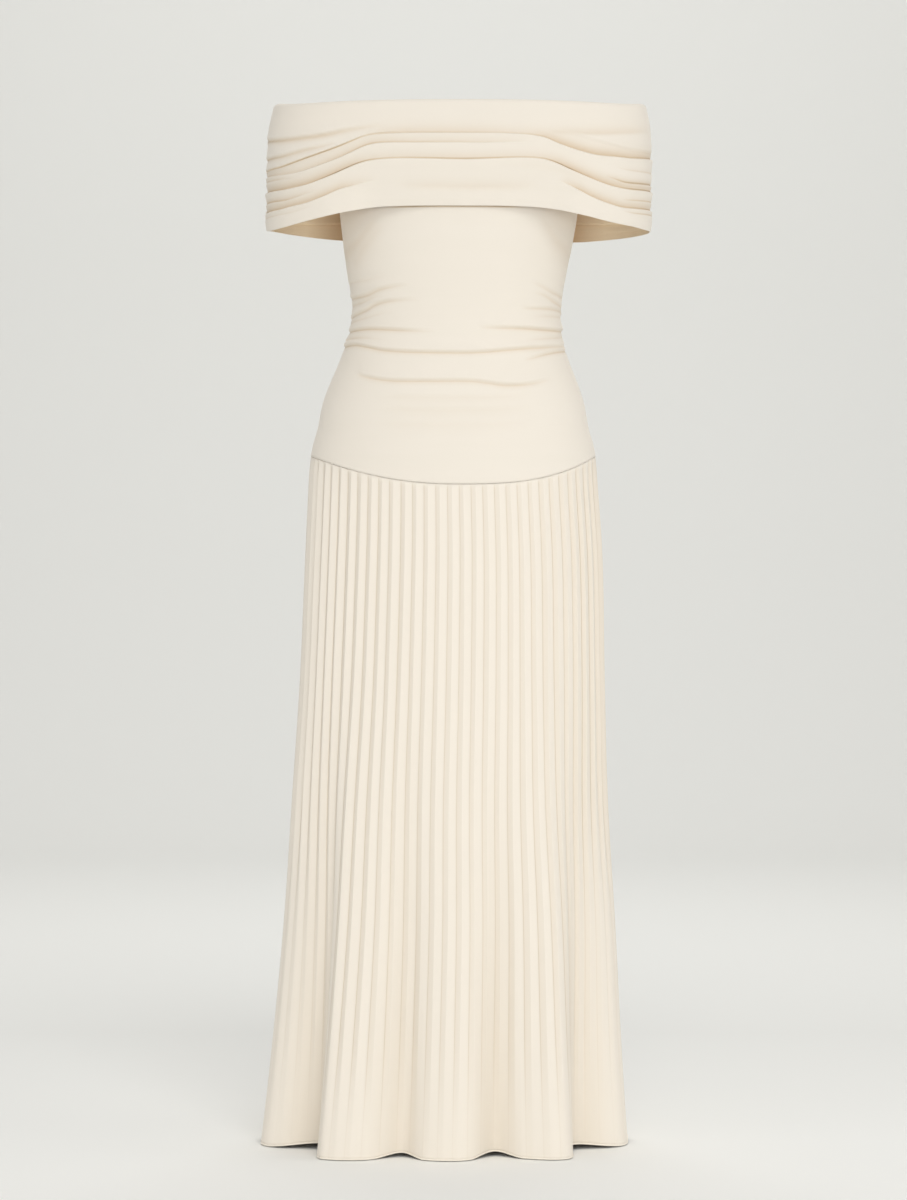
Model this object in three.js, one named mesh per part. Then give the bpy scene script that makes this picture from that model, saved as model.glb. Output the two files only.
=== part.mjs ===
import * as THREE from "three";

// Off-shoulder maxi dress, filled out with no wearer, in millimetres.
// X runs to the viewer's right, Y to the back and Z up, with zero at the top edge of the bodice.

// Cloth walls and seams
const BODICE_WALL = 1.6;
const SKIRT_WALL = 1.6;
const BAND_WALL = 2.0;
const SEAM_GAP = 0.3;

// Levels of the cut edges
const SEAM_SIDE_Z = -406;
const SEAM_FRONT_Z = -444;
const SEAM_BACK_Z = -421;
const HEM_Z = -1260;

// Knife pleats on each half of the skirt
const PLEATS = 33;
const PLEAT_RISE_SHARE = 0.66;

// Columns of the other panels from side seam to side seam, one for each pleat sewn to the bodice
const BODICE_STEPS = PLEATS;
const BAND_STEPS = 32;

// Fold-over band
const FOLD_RADIUS = 4.5;
const FOLD_ARC_STEPS = 4;
const BAND_TOP_CENTRE_Z = 25;
const BAND_TOP_SIDE_Z = 33;
const BAND_TOP_SWEEP_POWER = 3;
const INNER_LAYER_DROP = 18;
const INNER_LAYER_CLEAR = 3;
const INNER_LAYER_ROWS = 3;
const BAND_FLAT_HALF = 75;
const BAND_HALF = 240;
const BAND_SWEEP_POWER = 1.2;
const SEWN_HALF = 95;
const FREE_HALF = 148;
const REACH_STEP = 0.25;
const REACH_LIMIT = 40;

const CREAM = 0xf0e8d9;

// The cloth's form round the figure, level by level: half width, depths and how square it is.
const BODY_FORM = [
  { z: 0, centre: 3.5, half: 151, front: 108, back: 94, square: 2.5 },
  { z: -60, centre: 3.6, half: 151, front: 112, back: 95, square: 2.4 },
  { z: -101, centre: 3.5, half: 148.6, front: 111, back: 94, square: 2.3 },
  { z: -139, centre: 2.5, half: 143.4, front: 107, back: 91, square: 2.25 },
  { z: -172, centre: 1.3, half: 138.1, front: 102, back: 88, square: 2.2 },
  { z: -205, centre: 1, half: 131.8, front: 98, back: 86, square: 2.15 },
  { z: -235, centre: 0.5, half: 131, front: 95, back: 86, square: 2.1 },
  { z: -260, centre: -1.3, half: 135, front: 96, back: 91, square: 2.1 },
  { z: -285, centre: -2, half: 143, front: 99, back: 98, square: 2.1 },
  { z: -335, centre: -3, half: 162, front: 105, back: 111, square: 2.1 },
  { z: -385, centre: -4, half: 173.4, front: 109, back: 119, square: 2.1 },
  { z: -430, centre: -3.5, half: 180, front: 112, back: 121, square: 2.1 },
  { z: -535, centre: -2.5, half: 186, front: 117, back: 122, square: 2.1 },
  { z: -685, centre: -4.4, half: 190.6, front: 123, back: 124, square: 2.1 },
  { z: -835, centre: -7.5, half: 197.5, front: 129, back: 128, square: 2.1 },
  { z: -985, centre: -8, half: 207, front: 134, back: 133, square: 2.1 },
  { z: -1135, centre: -11, half: 217.5, front: 138, back: 138, square: 2.1 },
  { z: -1262, centre: -13.8, half: 228, front: 142, back: 143, square: 2.1 },
];

// The band's form round the upper arms and the chest.
const BAND_FORM = [
  { z: 34, centre: 5, half: 233, front: 116, back: 103, square: 2.4 },
  { z: 0, centre: 4.7, half: 237.5, front: 121, back: 107, square: 2.4 },
  { z: -60, centre: 4, half: 238, front: 124, back: 109, square: 2.4 },
  { z: -125, centre: 3.5, half: 238.5, front: 123, back: 110, square: 2.4 },
];

// The bodice's rows: how far each follows the curved seam, and its crease outward in front and behind.
const BODICE_ROWS = [
  { z: 0, follow: 0, front: 0, back: 0 },
  { z: -60, follow: 0, front: 0, back: 0 },
  { z: -115, follow: 0, front: 0, back: 0 },
  { z: -165, follow: 0, front: 0.5, back: 0.5 },
  { z: -195, follow: 0, front: -0.6, back: 0.8 },
  { z: -220, follow: 0, front: 0.4, back: -1 },
  { z: -244, follow: 0, front: 1.8, back: 1.6 },
  { z: -256, follow: 0, front: -1.6, back: -1.4 },
  { z: -267, follow: 0, front: 2, back: 1.8 },
  { z: -280, follow: 0, front: -1.8, back: -1.6 },
  { z: -296, follow: 0, front: 1.4, back: 1.2 },
  { z: -316, follow: 0, front: -1, back: -0.8 },
  { z: -338, follow: 0.1, front: 0.4, back: 0.4 },
  { z: -362, follow: 0.4, front: 0, back: 0 },
  { z: -386, follow: 0.75, front: 0, back: 0 },
  { z: SEAM_SIDE_Z, follow: 1, front: 0, back: 0 },
];

// The band's outer layer from its top roll down: levels at the centre and at the sides, and the folds.
const BAND_ROWS = {
  front: [
    { centre: 10, side: 6, out: 0.6 },
    { centre: 1, side: -17, out: 1.2 },
    { centre: -9, side: -36, out: 3 },
    { centre: -18, side: -48, out: -1.4 },
    { centre: -28, side: -57, out: 2.2 },
    { centre: -40, side: -67, out: 3 },
    { centre: -49.5, side: -76, out: -1.6 },
    { centre: -61, side: -86, out: 2.4 },
    { centre: -76, side: -99, out: 2.6 },
    { centre: -91, side: -112, out: 1.4 },
    { centre: -106, side: -124, out: 0 },
  ],
  back: [
    { centre: 9, side: 6, out: 0.6 },
    { centre: -4, side: -17, out: 1 },
    { centre: -17, side: -36, out: 2.6 },
    { centre: -28, side: -48, out: -1.2 },
    { centre: -41, side: -57, out: 2 },
    { centre: -56, side: -67, out: 2.6 },
    { centre: -69, side: -76, out: -1.4 },
    { centre: -84, side: -86, out: 2 },
    { centre: -101, side: -99, out: 2.2 },
    { centre: -117, side: -112, out: 1.2 },
    { centre: -131, side: -124, out: 0 },
  ],
};

// The skirt's rows: their share of the way from the seam to the hem, and the pleats' depth there.
const SKIRT_ROWS = [
  { share: 0, pleat: 1.6 },
  { share: 0.025, pleat: 2.8 },
  { share: 0.08, pleat: 3.8 },
  { share: 0.18, pleat: 4.4 },
  { share: 0.3, pleat: 4.6 },
  { share: 0.42, pleat: 4.6 },
  { share: 0.54, pleat: 4.6 },
  { share: 0.65, pleat: 4.4 },
  { share: 0.75, pleat: 4 },
  { share: 0.84, pleat: 3.2 },
  { share: 0.92, pleat: 2.2 },
  { share: 1, pleat: 1 },
];

// The hem's flutes: each crest and valley, with its share of the way round the half and its reach out.
const HEM_FLUTES = {
  front: [
    { share: 0, out: 0 },
    { share: 0.07, out: 2 },
    { share: 0.17, out: -34 },
    { share: 0.245, out: 23 },
    { share: 0.325, out: 13 },
    { share: 0.405, out: -23 },
    { share: 0.46, out: 2 },
    { share: 0.54, out: 5 },
    { share: 0.61, out: -27 },
    { share: 0.665, out: 3 },
    { share: 0.745, out: 22 },
    { share: 0.812, out: -31 },
    { share: 0.93, out: 0 },
    { share: 1, out: 0 },
  ],
  back: [
    { share: 0, out: 0 },
    { share: 0.08, out: 4 },
    { share: 0.17, out: -28 },
    { share: 0.25, out: 20 },
    { share: 0.34, out: 6 },
    { share: 0.43, out: -22 },
    { share: 0.52, out: 12 },
    { share: 0.63, out: -18 },
    { share: 0.74, out: 18 },
    { share: 0.83, out: -30 },
    { share: 0.92, out: 4 },
    { share: 1, out: 0 },
  ],
};
const FLUTE_START_SHARE = 0.28;
const FLUTE_POWER = 1.5;
const FLUTE_LIFT = 0.18;
const SIDE_LIFT = 5;
const SIDE_LIFT_START = 0.86;

const CREASE_FADE_POWER = 0.35;
const ARC_SAMPLES = 120;
const MITER_LIMIT = 1.5;

const mix = (from, to, share) => from + (to - from) * share;

function smoothStep(low, high, value) {
  const share = THREE.MathUtils.clamp((value - low) / (high - low), 0, 1);
  return share * share * (3 - 2 * share);
}

// A smooth curve through one column of a table, read at a value of its key column.
function readTable(rows, key, column, at) {
  const falling = rows[1][key] < rows[0][key];
  const side = (row) => (falling ? -row[key] : row[key]);
  const place = falling ? -at : at;
  const last = rows.length - 1;
  if (place <= side(rows[0])) return rows[0][column];
  if (place >= side(rows[last])) return rows[last][column];
  let i = 0;
  while (place > side(rows[i + 1])) i += 1;
  const slope = (k) => {
    const before = rows[Math.max(k - 1, 0)];
    const after = rows[Math.min(k + 1, last)];
    return (after[column] - before[column]) / (side(after) - side(before));
  };
  const width = side(rows[i + 1]) - side(rows[i]);
  const t = (place - side(rows[i])) / width;
  const t2 = t * t;
  const t3 = t2 * t;
  return (
    (2 * t3 - 3 * t2 + 1) * rows[i][column] +
    (t3 - 2 * t2 + t) * width * slope(i) +
    (3 * t2 - 2 * t3) * rows[i + 1][column] +
    (t3 - t2) * width * slope(i + 1)
  );
}

function formAt(table, z) {
  const read = (column) => readTable(table, "z", column, z);
  return {
    centre: read("centre"),
    half: read("half"),
    front: read("front"),
    back: read("back"),
    square: read("square"),
  };
}

// A point of a rounded section at an angle round it, from pi to two pi in front and from zero to pi behind.
function sectionPoint(form, angle) {
  const bend = (value) => Math.sign(value) * Math.abs(value) ** (2 / form.square);
  const depth = angle > Math.PI ? form.front : form.back;
  return new THREE.Vector2(form.centre + form.half * bend(Math.cos(angle)), depth * bend(Math.sin(angle)));
}

// The point and the outward direction at a share of the way along one half of a section.
// The front half runs from the left side to the right, and the back half from the right side to the left.
function alongSection(form, side, share) {
  const start = side === "front" ? Math.PI : 0;
  const points = [];
  const lengths = [0];
  for (let i = 0; i <= ARC_SAMPLES; i += 1) {
    points.push(sectionPoint(form, start + (Math.PI * i) / ARC_SAMPLES));
    if (i > 0) lengths.push(lengths[i - 1] + points[i].distanceTo(points[i - 1]));
  }
  const target = share * lengths[ARC_SAMPLES];
  let i = 0;
  while (i < ARC_SAMPLES - 1 && lengths[i + 1] < target) i += 1;
  const t = (target - lengths[i]) / (lengths[i + 1] - lengths[i]);
  const before = points[Math.max(i - 1, 0)];
  const after = points[Math.min(i + 2, ARC_SAMPLES)];
  const out = new THREE.Vector2(after.y - before.y, before.x - after.x).normalize();
  if (share <= 0 || share >= 1) out.set(Math.sign(points[share <= 0 ? 0 : ARC_SAMPLES].x), 0);
  return { point: points[i].clone().lerp(points[i + 1], t), out };
}

// The outward directions of an open plane line, lengthened at corners so that a wall keeps its thickness.
function outwardDirections(line) {
  const last = line.length - 1;
  const normals = [];
  for (let i = 0; i < last; i += 1) {
    const step = line[i + 1].clone().sub(line[i]).normalize();
    normals.push(new THREE.Vector2(step.y, -step.x));
  }
  return line.map((_, i) => {
    if (i === 0) return normals[0].clone();
    if (i === last) return normals[last - 1].clone();
    const sum = normals[i - 1].clone().add(normals[i]).normalize();
    return sum.multiplyScalar(Math.min(1 / sum.dot(normals[i]), MITER_LIMIT));
  });
}

// One closed solid between an outer and an inner grid of points: rows run down and columns run round.
function wallBetween(outer, inner) {
  const rows = outer.length;
  const columns = outer[0].length;
  const positions = [];
  for (const grid of [outer, inner]) {
    for (const row of grid) {
      for (const point of row) positions.push(point.x, point.y, point.z);
    }
  }
  const outerAt = (row, column) => row * columns + column;
  const innerAt = (row, column) => rows * columns + outerAt(row, column);
  const index = [];
  for (let row = 0; row < rows - 1; row += 1) {
    for (let column = 0; column < columns - 1; column += 1) {
      const corners = [
        [row, column],
        [row + 1, column],
        [row + 1, column + 1],
        [row, column + 1],
      ];
      const [a, b, c, d] = corners.map((corner) => outerAt(...corner));
      index.push(a, b, c, a, c, d);
      const [e, f, g, h] = corners.map((corner) => innerAt(...corner));
      index.push(e, g, f, e, h, g);
    }
  }
  const border = [];
  for (let row = 0; row < rows - 1; row += 1) border.push([row, 0]);
  for (let column = 0; column < columns - 1; column += 1) border.push([rows - 1, column]);
  for (let row = rows - 1; row > 0; row -= 1) border.push([row, columns - 1]);
  for (let column = columns - 1; column > 0; column -= 1) border.push([0, column]);
  border.forEach((corner, i) => {
    const next = border[(i + 1) % border.length];
    const [a, b] = [outerAt(...corner), outerAt(...next)];
    const [c, d] = [innerAt(...corner), innerAt(...next)];
    index.push(b, a, c, b, c, d);
  });
  const geometry = new THREE.BufferGeometry();
  geometry.setAttribute("position", new THREE.Float32BufferAttribute(positions, 3));
  geometry.setIndex(index);
  geometry.computeVertexNormals();
  return geometry;
}

function clothMesh(name, geometry) {
  const material = new THREE.MeshStandardMaterial({ color: CREAM, roughness: 0.85, metalness: 0 });
  const mesh = new THREE.Mesh(geometry, material);
  mesh.name = name;
  return mesh;
}

// The seam's level at a share of the way along a half: lowest at the centre, highest at the sides.
function seamLevel(side, share) {
  const form = formAt(BODY_FORM, SEAM_SIDE_Z);
  const { point } = alongSection(form, side, share);
  const reach = (point.x - form.centre) / form.half;
  const centre = side === "front" ? SEAM_FRONT_Z : SEAM_BACK_Z;
  return mix(centre, SEAM_SIDE_Z, reach * reach);
}

// The half seam gap in front of or behind the side seams.
const sideSeamY = (side) => (side === "front" ? -SEAM_GAP / 2 : SEAM_GAP / 2);

// Turns each row of plane points and levels into the two grids of a wall, cut square at the side seams.
function gridsFromRows(rows, side, wall) {
  const outer = [];
  const inner = [];
  for (const { line, levels } of rows) {
    const directions = outwardDirections(line);
    const last = line.length - 1;
    directions[0].set(side === "front" ? -1 : 1, 0);
    directions[last].set(side === "front" ? 1 : -1, 0);
    const place = (point, i) =>
      new THREE.Vector3(point.x, i === 0 || i === last ? sideSeamY(side) : point.y, levels[i]);
    outer.push(line.map((point, i) => place(point, i)));
    inner.push(line.map((point, i) => place(point.clone().addScaledVector(directions[i], -wall), i)));
  }
  return { outer, inner };
}

// Creases fade out at the side seams, where the cloth is held flat.
const creaseShare = (share) => Math.sin(Math.PI * THREE.MathUtils.clamp(share, 0, 1)) ** CREASE_FADE_POWER;

function bodicePanel(side) {
  const shares = Array.from({ length: BODICE_STEPS + 1 }, (_, i) => i / BODICE_STEPS);
  const rows = BODICE_ROWS.map((row) => {
    const levels = shares.map((share) => row.z + row.follow * (seamLevel(side, share) - SEAM_SIDE_Z));
    const line = shares.map((share, i) => {
      const { point, out } = alongSection(formAt(BODY_FORM, levels[i]), side, share);
      return point.addScaledVector(out, row[side] * creaseShare(share));
    });
    return { line, levels };
  });
  const { outer, inner } = gridsFromRows(rows, side, BODICE_WALL);
  return wallBetween(outer, inner);
}

// Places of the pleats' edges along a half, with the share of the pleat's depth that each stands back.
function pleatEdges() {
  const edges = [];
  for (let pleat = 0; pleat < PLEATS; pleat += 1) {
    edges.push({ share: pleat / PLEATS, sunk: 1 });
    edges.push({ share: (pleat + PLEAT_RISE_SHARE) / PLEATS, sunk: 0 });
  }
  edges.push({ share: 1, sunk: 1 });
  return edges;
}

function skirtPanel(side) {
  const edges = pleatEdges();
  const seam = edges.map(({ share }) => {
    const pleat = Math.min(Math.floor(share * PLEATS), PLEATS - 1);
    const [start, end] = [pleat, pleat + 1].map((edge) => seamLevel(side, edge / PLEATS));
    return mix(start, end, share * PLEATS - pleat) - SEAM_GAP;
  });
  const flutes = edges.map(({ share }) => readTable(HEM_FLUTES[side], "share", "out", share));
  const hem = flutes.map((out, i) => {
    const sideways = smoothStep(SIDE_LIFT_START, 1, Math.abs(2 * edges[i].share - 1));
    return HEM_Z + FLUTE_LIFT * Math.max(0, -out) + SIDE_LIFT * sideways;
  });
  const rows = SKIRT_ROWS.map((row) => {
    const flare = Math.max(0, (row.share - FLUTE_START_SHARE) / (1 - FLUTE_START_SHARE)) ** FLUTE_POWER;
    const levels = edges.map((_, i) => mix(seam[i], hem[i], row.share));
    const line = edges.map(({ share, sunk }, i) => {
      const { point, out } = alongSection(formAt(BODY_FORM, levels[i]), side, share);
      return point.addScaledVector(out, flutes[i] * flare - sunk * row.pleat);
    });
    return { line, levels };
  });
  const { outer, inner } = gridsFromRows(rows, side, SKIRT_WALL);
  return wallBetween(outer, inner);
}

// How far inward from the band's outline the bodice's cloth lies, along the band's own inward direction.
function reachToBodice(point, out) {
  const form = formAt(BODY_FORM, 0);
  const depth = (p) => (p.y < 0 ? form.front : form.back);
  const outside = (d) => {
    const p = point.clone().addScaledVector(out, -d);
    const across = Math.abs((p.x - form.centre) / form.half) ** form.square;
    const along = Math.abs(p.y / depth(p)) ** form.square;
    return across + along > 1;
  };
  let reach = 0;
  while (reach < REACH_LIMIT && outside(reach)) reach += REACH_STEP;
  return reach + BODICE_WALL / 2;
}

// One upright profile of the band as a line of inward distance and level, from the inner layer's edge
// up over the rolled top and down the outer layer.
function bandProfile(side, share) {
  const foot = alongSection(formAt(BAND_FORM, 0), side, share);
  const across = Math.abs(foot.point.x - formAt(BAND_FORM, 0).centre);
  const sweep = THREE.MathUtils.clamp((across - BAND_FLAT_HALF) / (BAND_HALF - BAND_FLAT_HALF), 0, 1);
  const lower = sweep ** BAND_SWEEP_POWER;
  const topZ = mix(BAND_TOP_CENTRE_Z, BAND_TOP_SIDE_Z, sweep ** BAND_TOP_SWEEP_POWER);
  const foldZ = topZ - FOLD_RADIUS;
  const middle = FOLD_RADIUS - BAND_WALL / 2;
  const free = smoothStep(SEWN_HALF, FREE_HALF, across);
  const edge = alongSection(formAt(BAND_FORM, SEAM_GAP), side, share);
  const sewnReach = reachToBodice(edge.point, edge.out);
  const freeReach = 2 * FOLD_RADIUS + INNER_LAYER_CLEAR;
  const endReach = mix(sewnReach, freeReach, free);
  const endZ = mix(SEAM_GAP, foldZ - INNER_LAYER_DROP, free);
  const startReach = 2 * FOLD_RADIUS - BAND_WALL / 2;
  const profile = [];
  for (let i = 0; i < INNER_LAYER_ROWS; i += 1) {
    const up = i / INNER_LAYER_ROWS;
    profile.push({ reach: mix(endReach, startReach, 1 - (1 - up) ** 2), z: mix(endZ, foldZ, up) });
  }
  for (let i = 0; i <= FOLD_ARC_STEPS; i += 1) {
    const angle = (Math.PI * i) / FOLD_ARC_STEPS;
    profile.push({ reach: FOLD_RADIUS + middle * Math.cos(angle), z: foldZ + middle * Math.sin(angle) });
  }
  for (const row of BAND_ROWS[side]) {
    profile.push({ reach: BAND_WALL / 2 - row.out, z: mix(row.centre, row.side, lower) });
  }
  return { profile, endZ, topZ };
}

function bandPanel(side) {
  const shares = Array.from({ length: BAND_STEPS + 1 }, (_, i) => i / BAND_STEPS);
  const columns = shares.map((share) => {
    const { profile, endZ, topZ } = bandProfile(side, share);
    const line = profile.map(({ reach, z }) => new THREE.Vector2(reach, z));
    const directions = outwardDirections(line);
    const skin = (shift) =>
      line.map((middle, i) => {
        const p = middle.clone().addScaledVector(directions[i], shift);
        if (i === 0) p.y = endZ;
        const { point, out } = alongSection(formAt(BAND_FORM, Math.min(p.y, topZ)), side, share);
        point.addScaledVector(out, -p.x);
        const atSeam = share === 0 || share === 1;
        return new THREE.Vector3(point.x, atSeam ? sideSeamY(side) : point.y, p.y);
      });
    return { outer: skin(BAND_WALL / 2), inner: skin(-BAND_WALL / 2) };
  });
  const rowsOf = (key) => columns[0][key].map((_, row) => columns.map((column) => column[key][row]));
  return wallBetween(rowsOf("outer"), rowsOf("inner"));
}

const dress = new THREE.Group();
dress.name = "off_shoulder_dress";
for (const side of ["front", "back"]) {
  dress.add(clothMesh(`band_${side}`, bandPanel(side)));
  dress.add(clothMesh(`bodice_${side}`, bodicePanel(side)));
  dress.add(clothMesh(`skirt_${side}`, skirtPanel(side)));
}

export default dress;
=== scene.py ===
# %% [markdown]
# # A cream off-shoulder dress with a pleated skirt
# The real dress is six cut pieces of soft cream jersey: the front and back of a wide fold-over band,
# of a fitted bodice and of a long pleated skirt. The imported solids already give each piece its place
# and its thickness. This lesson replaces each of them with a fine sheet of cloth of the same form.
# The folds, pleats, rolled hem and knit are added there. First the solids are imported from model.glb.

import bmesh
import bpy
import numpy as np
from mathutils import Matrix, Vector


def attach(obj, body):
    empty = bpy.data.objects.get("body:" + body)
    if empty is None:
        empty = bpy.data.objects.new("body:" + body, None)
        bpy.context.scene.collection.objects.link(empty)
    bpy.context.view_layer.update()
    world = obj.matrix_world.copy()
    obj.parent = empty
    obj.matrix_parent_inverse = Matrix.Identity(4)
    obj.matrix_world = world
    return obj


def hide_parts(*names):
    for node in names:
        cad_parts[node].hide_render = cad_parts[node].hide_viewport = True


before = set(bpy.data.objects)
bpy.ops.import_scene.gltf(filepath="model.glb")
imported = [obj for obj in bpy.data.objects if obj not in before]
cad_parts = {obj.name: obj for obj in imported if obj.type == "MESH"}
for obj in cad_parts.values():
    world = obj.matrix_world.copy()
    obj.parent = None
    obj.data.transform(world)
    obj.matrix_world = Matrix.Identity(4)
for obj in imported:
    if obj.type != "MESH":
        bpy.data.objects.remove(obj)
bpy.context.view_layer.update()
MM = 0.001
SIDES = ("front", "back")

# %% [markdown]
# ## The form that the cloth lies on
# A garment's form is easiest to say as sections: at a few levels, how wide it is, how deep in front and
# behind, and how square its outline is. A smooth curve through each column of such a table gives every
# section in between. All sizes here are in millimetres, and the pieces turn them into metres.

# %% Section tables
FORM_COLUMNS = ("z", "centre", "half", "front", "back", "square")
BODY_FORM = (
    (0, 3.5, 151, 108, 94, 2.5),
    (-60, 3.6, 151, 112, 95, 2.4),
    (-101, 3.5, 148.6, 111, 94, 2.3),
    (-139, 2.5, 143.4, 107, 91, 2.25),
    (-172, 1.3, 138.1, 102, 88, 2.2),
    (-205, 1, 131.8, 98, 86, 2.15),
    (-222, 1, 130, 96, 86, 2.1),
    (-235, 0.4, 130.6, 95, 87, 2.1),
    (-247, 0.2, 131.9, 95, 88.5, 2.1),
    (-260, -1.6, 134.4, 96, 91, 2.1),
    (-285, -2, 142.6, 99, 98, 2.1),
    (-335, -3, 162, 105, 111, 2.1),
    (-372, -3.4, 169.6, 108, 117, 2.1),
    (-392, -3.3, 175.4, 110, 119.5, 2.1),
    (-410, -3.3, 178.2, 111, 120.5, 2.1),
    (-430, -3.5, 180, 112, 121, 2.1),
    (-535, -2.5, 186, 117, 122, 2.1),
    (-685, -4.4, 190.6, 123, 124, 2.1),
    (-835, -7.5, 197.5, 129, 128, 2.1),
    (-985, -8, 207, 134, 133, 2.1),
    (-1135, -11, 217.5, 138, 138, 2.1),
    (-1262, -13.8, 228, 142, 143, 2.1),
)
BAND_FORM = (
    (34, 5, 231.5, 116, 103, 2.4),
    (0, 4.7, 238.3, 121, 107, 2.4),
    (-60, 4, 240.3, 124, 109, 2.4),
    (-125, 3.5, 240, 123, 110, 2.4),
)
print("sections:", len(BODY_FORM), "of the body and", len(BAND_FORM), "of the band")


def smooth_through(keys, values, at):
    """A smooth curve through table rows, read at any places, and level beyond both ends."""
    keys, values = np.asarray(keys, float), np.asarray(values, float)
    if keys[0] > keys[-1]:
        keys, values = keys[::-1], values[::-1]
    slope = np.empty_like(values)
    slope[1:-1] = (values[2:] - values[:-2]) / (keys[2:] - keys[:-2])
    slope[0] = (values[1] - values[0]) / (keys[1] - keys[0])
    slope[-1] = (values[-1] - values[-2]) / (keys[-1] - keys[-2])
    at = np.clip(np.asarray(at, float), keys[0], keys[-1])
    i = np.clip(np.searchsorted(keys, at, side="right") - 1, 0, len(keys) - 2)
    width = keys[i + 1] - keys[i]
    t = (at - keys[i]) / width
    return (
        (2 * t**3 - 3 * t**2 + 1) * values[i]
        + (t**3 - 2 * t**2 + t) * width * slope[i]
        + (3 * t**2 - 2 * t**3) * values[i + 1]
        + (t**3 - t**2) * width * slope[i + 1]
    )


def ease(low, high, value):
    """Zero below low, one above high, and smooth between."""
    share = np.clip((value - low) / (high - low), 0, 1)
    return share * share * (3 - 2 * share)


# %% [markdown]
# ## Reading the form by share and level
# A seamstress thinks along the cloth: so far round from the side seam, so far down from the top. So each
# half of a section is measured along its length. The share is 0 at one side seam and 1 at the other.
# Worked out once on a fine net, the form is then read at any share and level.

# %% Form lookup
LEVEL_STEP = 2.0
SHARE_COUNT = 401
ANGLE_COUNT = 361


def measured_form(table, side):
    """Plan positions and outward directions of one half, on a net of levels and shares."""
    columns = dict(zip(FORM_COLUMNS, zip(*table)))
    levels = np.arange(columns["z"][0], columns["z"][-1] - LEVEL_STEP, -LEVEL_STEP)
    read = {
        key: smooth_through(columns["z"], columns[key], levels)[:, None] for key in FORM_COLUMNS[1:]
    }
    start = np.pi if side == "front" else 0.0
    angles = start + np.linspace(0, np.pi, ANGLE_COUNT)[None, :]
    power = 2 / read["square"]
    across, along = np.cos(angles), np.sin(angles)
    x = read["centre"] + read["half"] * np.sign(across) * np.abs(across) ** power
    y = read[side] * np.sign(along) * np.abs(along) ** power
    steps = np.hypot(np.diff(x, axis=1, prepend=x[:, :1]), np.diff(y, axis=1, prepend=y[:, :1]))
    lengths = np.cumsum(steps, axis=1)
    shares = np.linspace(0, 1, SHARE_COUNT)
    net = {"top": levels[0], "levels": len(levels), "length": lengths[:, -1]}
    net["x"] = np.array([np.interp(shares * line[-1], line, row) for line, row in zip(lengths, x)])
    net["y"] = np.array([np.interp(shares * line[-1], line, row) for line, row in zip(lengths, y)])
    step_x, step_y = np.gradient(net["x"], axis=1), np.gradient(net["y"], axis=1)
    size = np.hypot(step_x, step_y)
    net["out_x"], net["out_y"] = step_y / size, -step_x / size
    left = -1.0 if side == "front" else 1.0
    net["out_x"][:, 0], net["out_x"][:, -1] = left, -left
    net["out_y"][:, 0] = net["out_y"][:, -1] = 0.0
    return net


def on_form(net, share, level):
    """Plan position and outward direction at a share and a level: x, y, out x, out y."""
    row = np.clip((net["top"] - level) / LEVEL_STEP, 0, net["levels"] - 1.001)
    column = np.clip(share, 0, 1) * (SHARE_COUNT - 1)
    column = np.minimum(column, SHARE_COUNT - 1.001)
    i, j = row.astype(int), column.astype(int)
    u, v = row - i, column - j
    return [
        (1 - u) * ((1 - v) * net[key][i, j] + v * net[key][i, j + 1])
        + u * ((1 - v) * net[key][i + 1, j] + v * net[key][i + 1, j + 1])
        for key in ("x", "y", "out_x", "out_y")
    ]


BODY = {side: measured_form(BODY_FORM, side) for side in SIDES}
BAND = {side: measured_form(BAND_FORM, side) for side in SIDES}


def round_at(nets, level):
    """Whole length round at a level, in millimetres."""
    return sum(float(net["length"][int((net["top"] - level) / LEVEL_STEP)]) for net in nets.values())


for place, level in (("chest", -60), ("waist", -228), ("hip", -420), ("hem", -1258)):
    print(place, "is", round(round_at(BODY, level)), "mm round")

# %% [markdown]
# ## One helper for every sheet of cloth
# bmesh makes a flat grid, and each of its corners is then moved to its place on the dress. A sheet keeps
# a UV map in real metres of cloth, so the knit has one size everywhere. A point attribute holds the shade
# painted into the colour in folds, creases and pleats. Solidify gives the sheet its thickness, inwards,
# and the material after the outer one on its inside.

# %% Sheet helper
CLOTH_WALL = 1.0
BAND_CLOTH_WALL = 1.5


def cloth_sheet(name, points, cloth_uv, painted_fold_shade, wall):
    """A sheet whose grid corners go to points[row, column], in millimetres."""
    rows, columns = points.shape[:2]
    bm = bmesh.new()
    bmesh.ops.create_grid(bm, x_segments=columns - 1, y_segments=rows - 1, size=0.5)
    mesh = bpy.data.meshes.new(name)
    bm.to_mesh(mesh)
    bm.free()
    flat = np.empty(len(mesh.vertices) * 3)
    mesh.vertices.foreach_get("co", flat)
    flat = flat.reshape(-1, 3)
    column = np.rint((flat[:, 0] + 0.5) * (columns - 1)).astype(int)
    row = np.rint((0.5 - flat[:, 1]) * (rows - 1)).astype(int)
    mesh.vertices.foreach_set("co", (points[row, column] * MM).ravel())
    corner = np.empty(len(mesh.loops), dtype=np.int32)
    mesh.loops.foreach_get("vertex_index", corner)
    uv = mesh.uv_layers.new(name="cloth")
    uv.data.foreach_set("uv", (cloth_uv[row, column] * MM)[corner].ravel())
    # Painted shade, from 0 for open cloth to 1 in a crease, for the material's ramp.
    painted_shade = mesh.attributes.new("painted_fold_shade", "FLOAT", "POINT")
    painted_shade.data.foreach_set("value", painted_fold_shade[row, column].astype(np.float32))
    mesh.polygons.foreach_set("use_smooth", np.ones(len(mesh.polygons), dtype=bool))
    mesh.update()
    piece = bpy.data.objects.new(name, mesh)
    bpy.context.scene.collection.objects.link(piece)
    shell = piece.modifiers.new("wall", "SOLIDIFY")
    shell.thickness = wall * MM
    shell.offset = -1
    shell.material_offset = 1
    print(name, "has", len(mesh.polygons), "faces")
    return piece


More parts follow.
